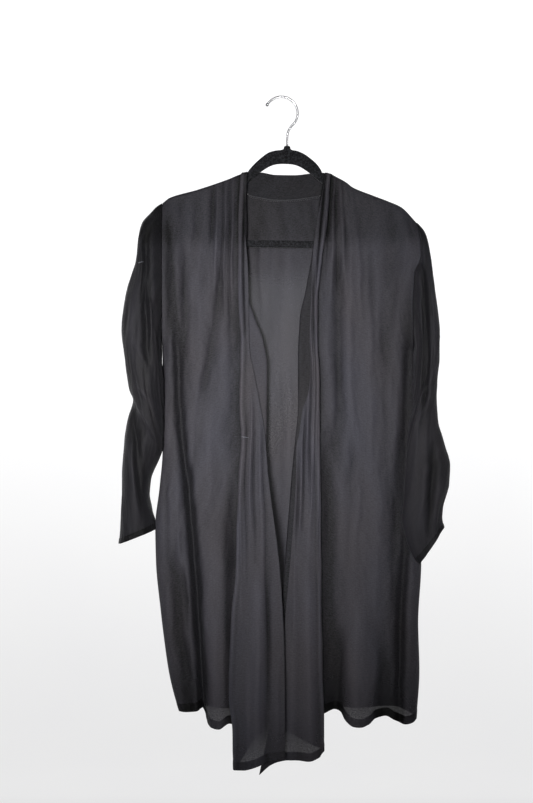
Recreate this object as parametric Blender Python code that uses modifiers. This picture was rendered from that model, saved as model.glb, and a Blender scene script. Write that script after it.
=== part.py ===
"""A long kimono coat with an open, cascading front, hanging on a slim velvet-covered hanger.

The coat faces -Y. Right and left are the wearer's, so the right front and the right sleeve are
on the -X side. The origin is under the top of the hook's arc, where the hook rests on a rail.
Sizes are in millimetres. A height is given as a drop: the distance below the origin.
"""

import math
from collections import namedtuple
from dataclasses import dataclass

import bpy
import numpy as np

MM = 0.001

# Cloth
WALL = 1.2
HEM_WALL = 2.0
HEM_DEPTH = 14.0
HEM_STEP = 15.5
SEAM_HALF = 0.65
SEAM_GAP = 0.65
ARMHOLE_GAP = 1.0

# How the panels turn at the side seam and over the hanger
SIDE_TURN = 28.0
SHOULDER_TURN = 5.0
FIRST_ROW = 1.2

# Armhole: how far its edge opens forwards and backwards, and how far in that reaches
ARM_DEPTH = 20.0
ARM_REACH = 60.0
ARM_ROWS = 10
SKIRT_ROWS = 9
RING_POINTS = 2 * ARM_ROWS
UNDERARM_GAP = 1.6
UNDERARM_FROM = 0.75
FIT_ROWS = 4
PRESS_ROWS = 3

# Columns of the panels, band and drapes
MAIN_COLUMNS = 8
GATHER_COLUMNS = 13
BACK_COLUMNS = 11
BAND_ROWS = 4
UNDER_COLUMNS = 3
DRAPE_COLUMNS = 9

# The front drapes lie in three layers. The turns between them grow from neck to hem.
TURN_AT_NECK = 2.1
TURN_AT_HEM = 2.7
TURN_STEPS = 4
NECK_DROP = 125.0
LONGEST_DROP = 1119.0

# Towards the hem the right drape stands out, over the left one
LIFT_FROM = 560.0
LIFT_OVER = 200.0
LIFT_EDGE = -110.0
LIFT_WIDTH = 30.0

# Hanger and hook
PLATE = 5.0
PLATE_BEVEL = 1.0
WIRE = 3.8
HOOK_RADIUS = 27.0
HOOK_CENTRE_X = -4.5
HOOK_TIP_ANGLE = 149.0
HOOK_LAST_ANGLE = -50.0
HOOK_STEPS = 16
TIP_BALL = 6.0
STEM_X = 5.0
STEM_FOOT_DROP = 78.4
OUTLINE_STEPS = 2
WELD = 0.02

Station = namedtuple("Station", "drop x")
Depth = namedtuple("Depth", "drop out")
Edge = namedtuple("Edge", "at drop")
Crease = namedtuple("Crease", "drop x width out")
Ring = namedtuple("Ring", "outer_x outer_drop inner_x inner_drop front rear")

# Depth of the body from the plane of the side seams
FRONT_DEPTH = (
    Depth(120, 4.3),
    Depth(170, 6),
    Depth(230, 10),
    Depth(330, 13),
    Depth(500, 14),
    Depth(700, 16),
    Depth(1050, 20),
)
BACK_DEPTH = (
    Depth(120, 4.3),
    Depth(170, 6),
    Depth(230, 9),
    Depth(330, 12),
    Depth(500, 14),
    Depth(700, 17),
    Depth(1050, 21),
)

# The shoulder line of both fronts and the back, from the right armhole to the left
SHOULDER = (
    Edge(-200, 174),
    Edge(-188, 165),
    Edge(-143, 152),
    Edge(-93, 135),
    Edge(-71, 126),
    Edge(-61, 123),
    Edge(64, 125),
    Edge(70, 128),
    Edge(94, 139.5),
    Edge(107, 148),
    Edge(142, 161),
    Edge(170, 171),
    Edge(193, 181),
    Edge(218, 206),
)
# The seam of the back and the neck band
NECKLINE = (
    Edge(-70, 127),
    Edge(-66, 143),
    Edge(-61, 158),
    Edge(-51, 162),
    Edge(-40, 164),
    Edge(-28, 166.5),
    Edge(-16, 168),
    Edge(0, 168.3),
    Edge(16, 167.5),
    Edge(28, 166.2),
    Edge(40, 164.5),
    Edge(51, 162.8),
    Edge(60, 161),
    Edge(65, 144),
    Edge(69, 128),
)
BAND_TOP = (
    Edge(-70, 122.5),
    Edge(-60, 121),
    Edge(-38, 122),
    Edge(-14, 126),
    Edge(18, 126.5),
    Edge(42, 124),
    Edge(60, 122),
    Edge(69, 123.5),
)
BAND_LEAN = 1.5
NECK_STEP = 1.5

RIGHT_SIDE = (
    Station(174, -200),
    Station(408, -200),
    Station(581, -200),
    Station(643, -205),
    Station(706, -212),
    Station(762, -211),
    Station(846, -203),
    Station(888, -198),
    Station(944, -190),
    Station(980, -182),
    Station(1013, -172),
)
LEFT_SIDE = (
    Station(206, 218),
    Station(240, 224),
    Station(262, 224),
    Station(292, 213),
    Station(343, 211),
    Station(412, 213),
    Station(498, 215),
    Station(581, 218),
    Station(663, 221),
    Station(767, 226),
    Station(865, 221),
    Station(944, 223),
    Station(1024, 218),
)
RIGHT_ARMHOLE = (174.0, 408.0)
LEFT_ARMHOLE = (206.0, 412.0)


@dataclass(frozen=True)
class Front:
    """One front, cut in one piece with its drape.

    Its section runs from the side seam to the under fold (stations 0 to 1), turns (1 to 2),
    runs back to the fold edge (2 to 3), turns (3 to 4) and runs to the leading edge (4 to 5).
    """

    way: int
    side: tuple
    armhole: tuple
    under_fold: tuple
    fold_edge: tuple
    leading: tuple
    hem: tuple
    creases: tuple
    drape_creases: tuple
    lift: float


RIGHT_FRONT = Front(
    way=1,
    side=RIGHT_SIDE,
    armhole=RIGHT_ARMHOLE,
    under_fold=(
        Station(123, -62),
        Station(251, -62),
        Station(330, -58),
        Station(365, -48),
        Station(401, -34),
        Station(444, -28),
        Station(556, -29),
        Station(663, -30),
        Station(762, -33),
        Station(861, -36),
        Station(1060, -36),
    ),
    fold_edge=(
        Station(123, -71),
        Station(213, -75),
        Station(323, -75),
        Station(412, -71),
        Station(508, -73),
        Station(564, -70),
        Station(606, -73),
        Station(696, -77),
        Station(785, -79),
        Station(851, -86),
        Station(982, -90),
        Station(1034, -84),
        Station(1110, -83),
    ),
    leading=(
        Station(122, -61),
        Station(210, -64),
        Station(292, -59),
        Station(409, -57),
        Station(470, -46),
        Station(559, -31),
        Station(612, -27),
        Station(670, -20),
        Station(746, -10),
        Station(802, -5),
        Station(871, -1),
        Station(952, 1),
        Station(1095, 1.5),
    ),
    hem=(
        Edge(0, 1010),
        Edge(0.1, 1011),
        Edge(0.22, 1009),
        Edge(0.30, 1004),
        Edge(0.34, 1024),
        Edge(0.4, 1034),
        Edge(0.49, 1036),
        Edge(0.63, 1025),
        Edge(1, 1036),
        Edge(2, 1040),
        Edge(3, 1092),
        Edge(4, 1098),
        Edge(4.18, 1098),
        Edge(4.47, 1090),
        Edge(4.7, 1084),
        Edge(5, 1080),
    ),
    creases=(
        (
            Crease(195, -192, 6, 0),
            Crease(236, -190, 7, -5),
            Crease(432, -175, 7, -7),
            Crease(560, -168, 7, -9),
            Crease(643, -157, 7, -12),
            Crease(883, -139, 7, -14),
            Crease(1050, -128, 7, -16),
        ),
        (
            Crease(230, -164, 8, 0),
            Crease(300, -164, 8, -4),
            Crease(400, -163, 8, -3),
            Crease(480, -161, 8, 0),
        ),
        (
            Crease(235, -102, 12, 0),
            Crease(330, -108, 12, -4),
            Crease(450, -125, 12, -4),
            Crease(549, -145, 9, 0),
        ),
        (
            Crease(700, -112, 18, 0),
            Crease(800, -110, 18, 5),
            Crease(950, -108, 18, 10),
            Crease(1050, -106, 18, 12),
        ),
        (Crease(126, -101, 3.5, 1.5), Crease(200, -104, 3.5, 2.5), Crease(300, -108, 4, 0)),
        (Crease(126, -91, 3.5, 1.5), Crease(220, -93, 3.5, 2.5), Crease(330, -96, 4, 0)),
        (Crease(126, -81, 3.5, 1.5), Crease(230, -82, 3.5, 2.5), Crease(350, -83, 4, 0)),
    ),
    drape_creases=(
        (
            Crease(760, -48, 8, 0),
            Crease(850, -42, 9, 5),
            Crease(950, -44, 10, 7),
            Crease(1110, -46, 12, 9),
        ),
        (
            Crease(700, -20, 6, 0),
            Crease(840, -27, 5, -2),
            Crease(950, -27, 5, -2),
            Crease(1100, -30, 6, -2),
        ),
    ),
    lift=18.0,
)

LEFT_FRONT = Front(
    way=-1,
    side=LEFT_SIDE,
    armhole=LEFT_ARMHOLE,
    under_fold=(
        Station(126, 66),
        Station(208, 53),
        Station(259, 46),
        Station(317, 36),
        Station(366, 26),
        Station(432, 23),
        Station(498, 23),
        Station(564, 18),
        Station(630, 12),
        Station(680, 8),
        Station(746, 3),
        Station(812, -3),
        Station(911, -8),
        Station(1051, -13),
    ),
    fold_edge=(
        Station(126, 76),
        Station(201, 71),
        Station(267, 62),
        Station(343, 55),
        Station(398, 55),
        Station(460, 58),
        Station(597, 59),
        Station(795, 61),
        Station(927, 62),
        Station(1016, 65),
        Station(1080, 65),
    ),
    leading=(
        Station(126, 67),
        Station(150, 64),
        Station(181, 58),
        Station(229, 50),
        Station(277, 46),
        Station(333, 44),
        Station(399, 42),
        Station(449, 43),
        Station(490, 39),
        Station(515, 30),
        Station(551, 25),
        Station(574, 20),
        Station(630, 19),
        Station(700, 15),
        Station(762, 10),
        Station(828, 4),
        Station(927, -7),
        Station(1026, -23),
        Station(1119, -43),
    ),
    hem=(
        Edge(0, 1022),
        Edge(0.03, 1028),
        Edge(0.09, 1030),
        Edge(0.16, 1024),
        Edge(0.225, 1017),
        Edge(0.3, 1020),
        Edge(0.35, 1029),
        Edge(0.41, 1033),
        Edge(0.46, 1032),
        Edge(0.52, 1022),
        Edge(0.555, 1009),
        Edge(0.6, 1007),
        Edge(0.67, 1012),
        Edge(1, 1031),
        Edge(2, 1036),
        Edge(3, 1067),
        Edge(4, 1074),
        Edge(4.05, 1081),
        Edge(4.25, 1087),
        Edge(4.53, 1085),
        Edge(4.71, 1088),
        Edge(4.85, 1094),
        Edge(5, 1110),
    ),
    creases=(
        (
            Crease(240, 92, 9, 0),
            Crease(300, 90, 9, -5),
            Crease(498, 90, 9, -5),
            Crease(560, 85, 9, -4),
            Crease(650, 98, 9, 0),
        ),
        (
            Crease(260, 107, 10, 0),
            Crease(340, 107, 10, 4),
            Crease(500, 108, 10, 3),
            Crease(600, 112, 10, 0),
        ),
        (
            Crease(860, 95, 9, 0),
            Crease(900, 93, 9, -5),
            Crease(975, 90, 10, -9),
            Crease(1030, 84, 12, -11),
        ),
        (
            Crease(700, 200, 7, 0),
            Crease(762, 198, 7, -6),
            Crease(883, 191, 7, -9),
            Crease(1040, 190, 7, -8),
        ),
        (Crease(780, 118, 18, 0), Crease(950, 118, 18, 8), Crease(1040, 118, 18, 11)),
        (Crease(850, 163, 13, 0), Crease(960, 163, 13, -5), Crease(1030, 163, 13, -8)),
        (Crease(126, 100, 3.5, 1.5), Crease(200, 100, 3.5, 2.5), Crease(300, 98, 4, 0)),
        (Crease(126, 90, 3.5, 1.5), Crease(220, 87, 3.5, 2.5), Crease(330, 82, 4, 0)),
        (Crease(126, 81, 3.5, 1.5), Crease(220, 77, 3.5, 2.5), Crease(330, 69, 4, 0)),
    ),
    drape_creases=(
        (
            Crease(330, 50, 4, 0),
            Crease(450, 52, 4, 3),
            Crease(560, 49, 4, 4),
            Crease(700, 42, 5, 2),
            Crease(800, 38, 5, 0),
        ),
        (
            Crease(760, 38, 8, 0),
            Crease(880, 40, 9, 5),
            Crease(1080, 44, 11, 8),
        ),
        (Crease(840, 16, 7, 0), Crease(960, 14, 8, 3), Crease(1090, 12, 9, 4)),
    ),
    lift=0.0,
)

BACK_CREASES = (
    (Crease(190, -150, 10, 0), Crease(400, -156, 12, -3), Crease(700, -150, 14, -7),
     Crease(1030, -142, 15, -11)),
    (Crease(200, -100, 12, 0), Crease(420, -104, 15, 4), Crease(720, -100, 18, 8),
     Crease(1030, -98, 18, 12)),
    (Crease(175, -48, 8, 1), Crease(330, -50, 10, -3), Crease(700, -46, 13, -6),
     Crease(1030, -44, 14, -9)),
    (Crease(172, 4, 10, 1), Crease(420, 2, 14, 4), Crease(720, 6, 18, 7), Crease(1030, 8, 20, 10)),
    (Crease(175, 52, 8, 1), Crease(330, 56, 10, -3), Crease(700, 62, 13, -6),
     Crease(1030, 66, 14, -9)),
    (Crease(200, 112, 12, 0), Crease(420, 116, 15, 4), Crease(720, 118, 18, 8),
     Crease(1030, 120, 18, 11)),
    (Crease(230, 166, 10, 0), Crease(450, 170, 12, -3), Crease(700, 172, 13, -6),
     Crease(1030, 174, 14, -9)),
)
BACK_HEM = (
    Edge(-172, 1012),
    Edge(-142, 1004),
    Edge(-98, 1013),
    Edge(-44, 1004),
    Edge(8, 1012),
    Edge(66, 1003),
    Edge(120, 1012),
    Edge(174, 1005),
    Edge(218, 1020),
)


@dataclass(frozen=True)
class Sleeve:
    """One sleeve: rings from the armhole to the cuff, each between an outer and an inner point."""

    way: int
    side: tuple
    rings: tuple
    front_creases: tuple
    rear_creases: tuple


RIGHT_SLEEVE = Sleeve(
    way=-1,
    side=RIGHT_SIDE,
    rings=(
        Ring(-200.4, 174, -200.4, 408, -20, 20),
        Ring(-209.5, 180, -203, 415, -27, 27),
        Ring(-221, 192, -204, 425, -34, 34),
        Ring(-233, 208, -204, 437, -38, 39),
        Ring(-239, 232, -204, 452, -41, 42),
        Ring(-243, 270, -204, 470, -42, 44),
        Ring(-251, 297, -204, 488, -43, 45),
        Ring(-260, 328, -204, 506, -43, 45),
        Ring(-266, 382, -204, 535, -42, 44),
        Ring(-261, 430, -204, 555, -41, 43),
        Ring(-253, 480, -204, 576, -39, 42),
        Ring(-248, 498, -204, 586, -38, 41),
        Ring(-256, 525, -211, 604, -40, 42),
        Ring(-262, 558, -220, 630, -41, 43),
        Ring(-266, 606, -222, 655, -40, 42),
        Ring(-268, 670, -218, 680, -38, 40),
        Ring(-270.5, 721, -213, 697, -37, 38),
        Ring(-272, 735, -212, 711, -37, 38),
    ),
    front_creases=(
        (
            Crease(205, -222, 5, 0),
            Crease(270, -226, 6, -9),
            Crease(340, -225, 6, -9),
            Crease(420, -222, 6, -5),
            Crease(460, -220, 6, 0),
        ),
        (
            Crease(490, -247, 6, 0),
            Crease(540, -243, 6, -8),
            Crease(610, -238, 6, -7),
            Crease(690, -232, 6, 0),
        ),
        (Crease(300, -246, 6, 0), Crease(380, -248, 6, 4), Crease(470, -240, 6, 0)),
    ),
    rear_creases=(
        (Crease(230, -224, 6, 0), Crease(330, -230, 7, -9), Crease(450, -232, 7, -6),
         Crease(520, -230, 7, 0)),
        (Crease(540, -240, 7, 0), Crease(620, -244, 7, -7), Crease(700, -246, 7, 0)),
    ),
)
LEFT_SLEEVE = Sleeve(
    way=1,
    side=LEFT_SIDE,
    rings=(
        Ring(218.4, 206, 213.4, 412, -20, 20),
        Ring(223, 212, 216.5, 420, -27, 22),
        Ring(229, 222, 218, 432, -34, 20),
        Ring(234, 237, 218, 446, -40, 16),
        Ring(240, 268, 217, 462, -46, 10),
        Ring(243.5, 304, 216, 478, -52, 2),
        Ring(247.5, 340, 214, 494, -57, -6),
        Ring(252.5, 387, 210, 512, -61, -14),
        Ring(251.5, 431, 204, 536, -64, -20),
        Ring(247.5, 470, 200, 560, -65, -22),
        Ring(246.5, 495, 198, 579, -65, -22),
        Ring(249.5, 534, 197, 602, -66, -22),
        Ring(259, 571, 196, 626, -67, -22),
        Ring(268, 603, 195, 646, -68, -22),
        Ring(267, 636, 193, 665, -67, -22),
        Ring(257, 672, 191, 689, -65, -22),
        Ring(255, 689, 198, 724, -64, -22),
        Ring(256, 697, 209, 752, -62, -23),
        Ring(258, 705, 219, 764, -61, -24),
    ),
    front_creases=(
        (
            Crease(240, 232, 5, 0),
            Crease(300, 228, 6, -6),
            Crease(380, 230, 7, -9),
            Crease(480, 227, 7, -7),
            Crease(560, 224, 7, 0),
        ),
        (
            Crease(555, 242, 7, 0),
            Crease(620, 238, 8, -8),
            Crease(690, 234, 7, -5),
            Crease(740, 232, 6, 0),
        ),
    ),
    rear_creases=(
        (Crease(280, 236, 6, 0), Crease(380, 240, 7, -7), Crease(500, 234, 7, -7),
         Crease(570, 230, 7, 0)),
        (Crease(590, 244, 7, 0), Crease(640, 240, 7, -6), Crease(710, 234, 7, 0)),
    ),
)

# Hanger outline, clockwise from the left of the neck, as x and drop
HANGER_OUTER = (
    (1, 79.5), (9, 79.5), (11, 85), (35, 94), (52, 107), (61.5, 120), (64, 129.5),
    (71, 131.5), (94, 142), (107, 150.3), (142, 163.3), (170, 173.5), (193, 184),
    (204, 194), (210, 212), (209, 232), (200, 246), (184, 249), (0, 247), (-176, 245),
    (-193, 242), (-203, 230), (-207, 210), (-206, 190), (-200, 178.5), (-188, 168),
    (-143, 154.4), (-93, 137.4), (-71, 128.6), (-62, 126), (-57, 118), (-46, 106), (-28, 92),
    (-1, 85),
)
HANGER_INNER = (
    (2, 109), (22, 112), (42, 124), (63, 141), (94, 158), (142, 182), (176, 199), (192, 214),
    (194, 228), (184, 237), (0, 235), (-176, 233), (-187, 226), (-188, 210), (-176, 192),
    (-143, 175), (-93, 157), (-62, 141), (-38, 122), (-18, 111),
)
# The hook's wire below its arc, as x and drop
HOOK_STEM = ((10.5, 49), (7, 55), (5.6, 62), (5.1, 70), (STEM_X, STEM_FOOT_DROP))


def smooth(rows, at):
    """The value at each station of a curve through (station, value) rows, with no overshoot."""
    stations, values = np.array(rows, float).T
    width = np.diff(stations)
    slope = np.diff(values) / width
    before, after = slope[:-1], slope[1:]
    product = before * after
    total = np.where(product > 0, before + after, 1.0)
    inner = np.where(product > 0, 2 * product / total, 0.0)
    tangent = np.concatenate([slope[:1], inner, slope[-1:]])
    at = np.clip(at, stations[0], stations[-1])
    i = np.clip(np.searchsorted(stations, at) - 1, 0, len(width) - 1)
    t = (at - stations[i]) / width[i]
    return (
        values[i] * (1 + 2 * t) * (1 - t) ** 2
        + values[i + 1] * t * t * (3 - 2 * t)
        + width[i] * (tangent[i] * t * (1 - t) ** 2 - tangent[i + 1] * t * t * (1 - t))
    )


def ease(t):
    """0 below 0, 1 above 1, and a soft step between."""
    t = np.clip(t, 0, 1)
    return t * t * (3 - 2 * t)


def rounded(t):
    """A quarter circle from 0 to 1."""
    return np.sqrt(1 - (1 - np.clip(t, 0, 1)) ** 2)


def relief(creases, x, drop):
    """How far the creases move the cloth outwards at each point."""
    out = np.zeros(np.broadcast(x, drop).shape)
    for crease in creases:
        rows = np.array(crease, float)
        centre, width, height = (smooth(rows[:, [0, k]], drop) for k in (1, 2, 3))
        reach = (drop >= rows[0, 0]) & (drop <= rows[-1, 0] + HEM_DEPTH)
        out += np.where(reach, height, 0) * np.exp(-(((x - centre) / width) ** 2))
    return out


def armhole_opening(armhole, drop):
    """How far an armhole is open at a drop, from 0 at its ends to 1 half-way down."""
    middle, half = sum(armhole) / 2, (armhole[1] - armhole[0]) / 2
    return np.sqrt(1 - np.clip((drop - middle) / half, -1, 1) ** 2)


def panel_rows(top, hem, armhole):
    """The drops of a panel's rows, one column for each value of top.

    The rows round the armhole stand where the sleeve's ring has its points. The last rows
    are those of the turned hem.
    """
    length = hem - HEM_STEP - top
    share = (armhole[1] - top[0]) / length[0]
    arm = share * (1 - np.cos(np.linspace(0, math.pi, ARM_ROWS + 1))) / 2
    skirt = np.linspace(share, 1, SKIRT_ROWS + 1)[1:]
    drops = top + np.concatenate([arm, skirt])[:, None] * length
    return np.vstack([drops[:1], top + FIRST_ROW, drops[1:], hem - HEM_DEPTH, hem])


def panel_depth(table, inward, creased, drop, below_top, opening):
    """The distance of a panel from the plane of the side seams."""
    body = smooth(table, drop) + creased
    body = SEAM_HALF + (body - SEAM_HALF) * rounded(inward / SIDE_TURN)
    body = SEAM_HALF + (body - SEAM_HALF) * rounded(below_top / SHOULDER_TURN)
    bulge = ARM_DEPTH * opening * (1 - ease(inward / ARM_REACH))
    return np.hypot(body, bulge)


def front_stations():
    """The columns of a front, close where the cloth is gathered and round the turns."""
    turn = np.linspace(0, 1, TURN_STEPS + 1)[1:]
    side = [0, 0.02, 0.06]
    plain = np.linspace(0.12, 0.52, MAIN_COLUMNS)
    gathered = np.linspace(0.56, 1, GATHER_COLUMNS)
    main = np.concatenate([side, plain, gathered])
    back = 2 + np.linspace(0, 1, UNDER_COLUMNS + 1)[1:]
    drape = 4 + np.linspace(0, 1, DRAPE_COLUMNS + 1)[1:]
    return np.concatenate([main, 1 + turn, back, 3 + turn, drape])


def front_section(front, station, drop):
    """The x of each point of a front's folded section, and how far it lies before the main panel."""
    side, under, edge, lead = (
        smooth(line, drop)
        for line in (front.side, front.under_fold, front.fold_edge, front.leading)
    )
    share = ease((drop - NECK_DROP) / (LONGEST_DROP - NECK_DROP))
    turn = TURN_AT_NECK + (TURN_AT_HEM - TURN_AT_NECK) * share
    under = under - front.way * turn
    edge = edge + front.way * turn
    swing = front.way * turn * np.sin(math.pi * (station - 1))
    near = turn * (1 - np.cos(math.pi * (station - 1)))
    layers = [station <= 1, station <= 2, station <= 3, station <= 4]
    x = np.select(
        layers,
        [
            side + station * (under - side),
            under + swing,
            under + (station - 2) * (edge - under),
            edge - swing,
        ],
        edge + (station - 4) * (lead - edge),
    )
    forward = np.select(layers, [0 * turn, near, 2 * turn, 2 * turn + near], 4 * turn)
    return x, forward


def front_points(front):
    """Grid of a front's points, a row for each height and a column for each station."""
    station = front_stations()
    start = np.zeros_like(station) + front.armhole[0]
    across, _ = front_section(front, station, start)
    top = smooth(SHOULDER, across)
    hem = smooth(front.hem, station)
    drop = panel_rows(top, hem, front.armhole)
    x, forward = front_section(front, station[None, :], drop)
    side = smooth(front.side, drop)
    inward = front.way * (x - side)
    creased = relief(front.creases, x, drop)
    low = ease((drop - LIFT_FROM) / LIFT_OVER)
    creased += front.lift * low * ease((x - LIFT_EDGE) / LIFT_WIDTH)
    opening = armhole_opening(front.armhole, drop)
    depth = panel_depth(FRONT_DEPTH, inward, creased, drop, drop - top, opening)
    depth += ease(station - 3.5) * relief(front.drape_creases, x, drop)
    return np.stack([x, -(depth + forward), -drop], axis=2)


def back_points():
    """Grid of the back's points. Each half has the rows of the armhole at its side."""
    right_top, left_top = RIGHT_SIDE[0].x, LEFT_SIDE[0].x
    neck_x = [row.at for row in NECKLINE]
    right_half = np.linspace(right_top, neck_x[0] - NECK_STEP, BACK_COLUMNS)
    left_half = np.linspace(neck_x[-1] + NECK_STEP, left_top, BACK_COLUMNS + 1)
    across = np.concatenate([right_half, neck_x, left_half])
    station = (across - right_top) / (left_top - right_top)
    neck = (across >= neck_x[0]) & (across <= neck_x[-1])
    top = np.where(neck, smooth(NECKLINE, across), smooth(SHOULDER, across))
    hem_x = RIGHT_SIDE[-1].x + station * (LEFT_SIDE[-1].x - RIGHT_SIDE[-1].x)
    hem = smooth(BACK_HEM, hem_x)
    right = panel_rows(top, hem, RIGHT_ARMHOLE)
    left = panel_rows(top[::-1], hem[::-1], LEFT_ARMHOLE)[:, ::-1]
    drop = right + ease(station) * (left - right)
    right_x, left_x = smooth(RIGHT_SIDE, drop), smooth(LEFT_SIDE, drop)
    x = right_x + station * (left_x - right_x)
    inward = np.minimum(x - right_x, left_x - x)
    opening = np.where(
        station < 0.5,
        armhole_opening(RIGHT_ARMHOLE, drop),
        armhole_opening(LEFT_ARMHOLE, drop),
    )
    below_top = np.where(neck, SHOULDER_TURN, drop - top)
    creased = relief(BACK_CREASES, x, drop)
    depth = panel_depth(BACK_DEPTH, inward, creased, drop, below_top, opening)
    return np.stack([x, depth, -drop], axis=2)


def sleeve_points(sleeve):
    """Closed rings from the armhole to the cuff, turning from the top of each by the front."""
    angle = np.arange(RING_POINTS) * 2 * math.pi / RING_POINTS
    cosine, sine = np.cos(angle), np.sin(angle)
    rings = np.array(sleeve.rings)
    row = np.arange(len(rings))
    outer_x, outer_drop, inner_x, inner_drop, front, rear = (
        smooth(np.column_stack([row, rings[:, k]]), row)[:, None] for k in range(6)
    )
    x = (outer_x + inner_x) / 2 + (outer_x - inner_x) / 2 * cosine
    drop = (outer_drop + inner_drop) / 2 + (outer_drop - inner_drop) / 2 * cosine
    seam = smooth(sleeve.side, drop[0]) + sleeve.way * ARMHOLE_GAP
    underarm = ease((-cosine - UNDERARM_FROM) / (1 - UNDERARM_FROM))
    seam = seam + sleeve.way * UNDERARM_GAP * underarm
    x = x + (seam - x[0]) * np.clip(1 - row / FIT_ROWS, 0, 1)[:, None] ** 2
    y = (front + rear) / 2 - (rear - front) / 2 * sine
    pressed = np.clip(row / PRESS_ROWS, 0, 1)[:, None] * np.sqrt(np.abs(sine))
    creased = np.where(
        sine > 0,
        -relief(sleeve.front_creases, x, drop),
        relief(sleeve.rear_creases, x, drop),
    )
    return np.stack([x, y + pressed * creased, -drop], axis=2)


def band_points():
    """Grid of the neck band, standing behind the hanger's arch on the back's neckline."""
    across = np.array([row.at for row in NECKLINE])
    low = smooth(NECKLINE, across)
    low = low - SEAM_GAP * np.hypot(1, np.gradient(low, across))
    high = smooth(BAND_TOP, across)
    share = np.linspace(0, 1, BAND_ROWS)[:, None]
    drop = high + share * (low - high)
    y = smooth(BACK_DEPTH, low) + BAND_LEAN * (1 - share) * np.ones_like(drop)
    return np.stack([across + 0 * drop, y, -drop], axis=2)


def principled(name, colour, roughness, metallic=0.0):
    """A material with one Principled shader."""
    material = bpy.data.materials.new(name)
    material.use_nodes = True
    shader = material.node_tree.nodes["Principled BSDF"]
    shader.inputs["Base Color"].default_value = (*colour, 1.0)
    shader.inputs["Roughness"].default_value = roughness
    shader.inputs["Metallic"].default_value = metallic
    material.diffuse_color = (*colour, 1.0)
    return material


def cloth_object(name, points, collection, material, hem_rows, closed=False, flip=False):
    """A cloth piece: an open grid of quads with Solidify, thicker over its turned hem."""
    rows, columns = points.shape[:2]
    index = np.arange(rows * columns).reshape(rows, columns)
    if closed:
        index = np.column_stack([index, index[:, 0]])
    quads = np.stack([index[:-1, :-1], index[:-1, 1:], index[1:, 1:], index[1:, :-1]], axis=2)
    quads = quads.reshape(-1, 4)
    if flip:
        quads = quads[:, ::-1]
    mesh = bpy.data.meshes.new(name)
    mesh.from_pydata((points.reshape(-1, 3) * MM).tolist(), [], quads.tolist())
    mesh.shade_smooth()
    mesh.materials.append(material)
    piece = bpy.data.objects.new(name, mesh)
    collection.objects.link(piece)
    hem = piece.vertex_groups.new(name="hem")
    if hem_rows:
        hem.add(index[-hem_rows:, :columns].ravel().tolist(), 1.0, "REPLACE")
    wall = piece.modifiers.new("wall", "SOLIDIFY")
    wall.thickness = HEM_WALL * MM
    wall.offset = 0
    wall.vertex_group = "hem"
    wall.thickness_vertex_group = WALL / HEM_WALL
    return piece


def mesh_of_curve(curve_object, material):
    """Turns a curve object into a mesh object in the same place, its caps welded to its sides."""
    bpy.context.view_layer.update()
    graph = bpy.context.evaluated_depsgraph_get()
    mesh = bpy.data.meshes.new_from_object(curve_object.evaluated_get(graph))
    name = curve_object.name
    collection = curve_object.users_collection[0]
    place = curve_object.matrix_world.copy()
    bpy.data.objects.remove(curve_object, do_unlink=True)
    mesh.materials.clear()
    mesh.materials.append(material)
    piece = bpy.data.objects.new(name, mesh)
    piece.matrix_world = place
    collection.objects.link(piece)
    weld = piece.modifiers.new("weld", "WELD")
    weld.merge_threshold = WELD * MM
    return piece


def add_spline(curve, points, closed):
    """Adds a straight-edged spline through (x, y, z) points in millimetres."""
    spline = curve.splines.new("POLY")
    spline.points.add(len(points) - 1)
    for point, place in zip(spline.points, points):
        point.co = (*(MM * value for value in place), 1.0)
    spline.use_cyclic_u = closed


def rounded_outline(corners):
    """Points of a closed smooth outline through the corners (a Catmull-Rom curve)."""
    corners = np.array(corners, float)
    before, after, next_on = (np.roll(corners, k, axis=0) for k in (1, -1, -2))
    points = []
    for t in np.arange(OUTLINE_STEPS) / OUTLINE_STEPS:
        points.append(
            0.5
            * (
                2 * corners
                + (after - before) * t
                + (2 * before - 5 * corners + 4 * after - next_on) * t * t
                + (3 * corners - before - 3 * after + next_on) * t**3
            )
        )
    return np.stack(points, axis=1).reshape(-1, 2)


def build_hanger(collection, material):
    """The hanger's frame: a flat outline with its opening, given its thickness."""
    curve = bpy.data.curves.new("hanger_frame", "CURVE")
    curve.dimensions = "2D"
    curve.fill_mode = "BOTH"
    curve.extrude = (PLATE / 2 - PLATE_BEVEL) * MM
    curve.bevel_depth = PLATE_BEVEL * MM
    curve.bevel_resolution = 0
    curve.offset = -PLATE_BEVEL * MM
    for corners in (HANGER_OUTER, HANGER_INNER):
        outline = rounded_outline(corners)
        add_spline(curve, [(x, -drop, 0) for x, drop in outline], closed=True)
    frame = bpy.data.objects.new("hanger_frame", curve)
    frame.rotation_euler = (math.pi / 2, 0, 0)
    collection.objects.link(frame)
    mesh_of_curve(frame, material)


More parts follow.
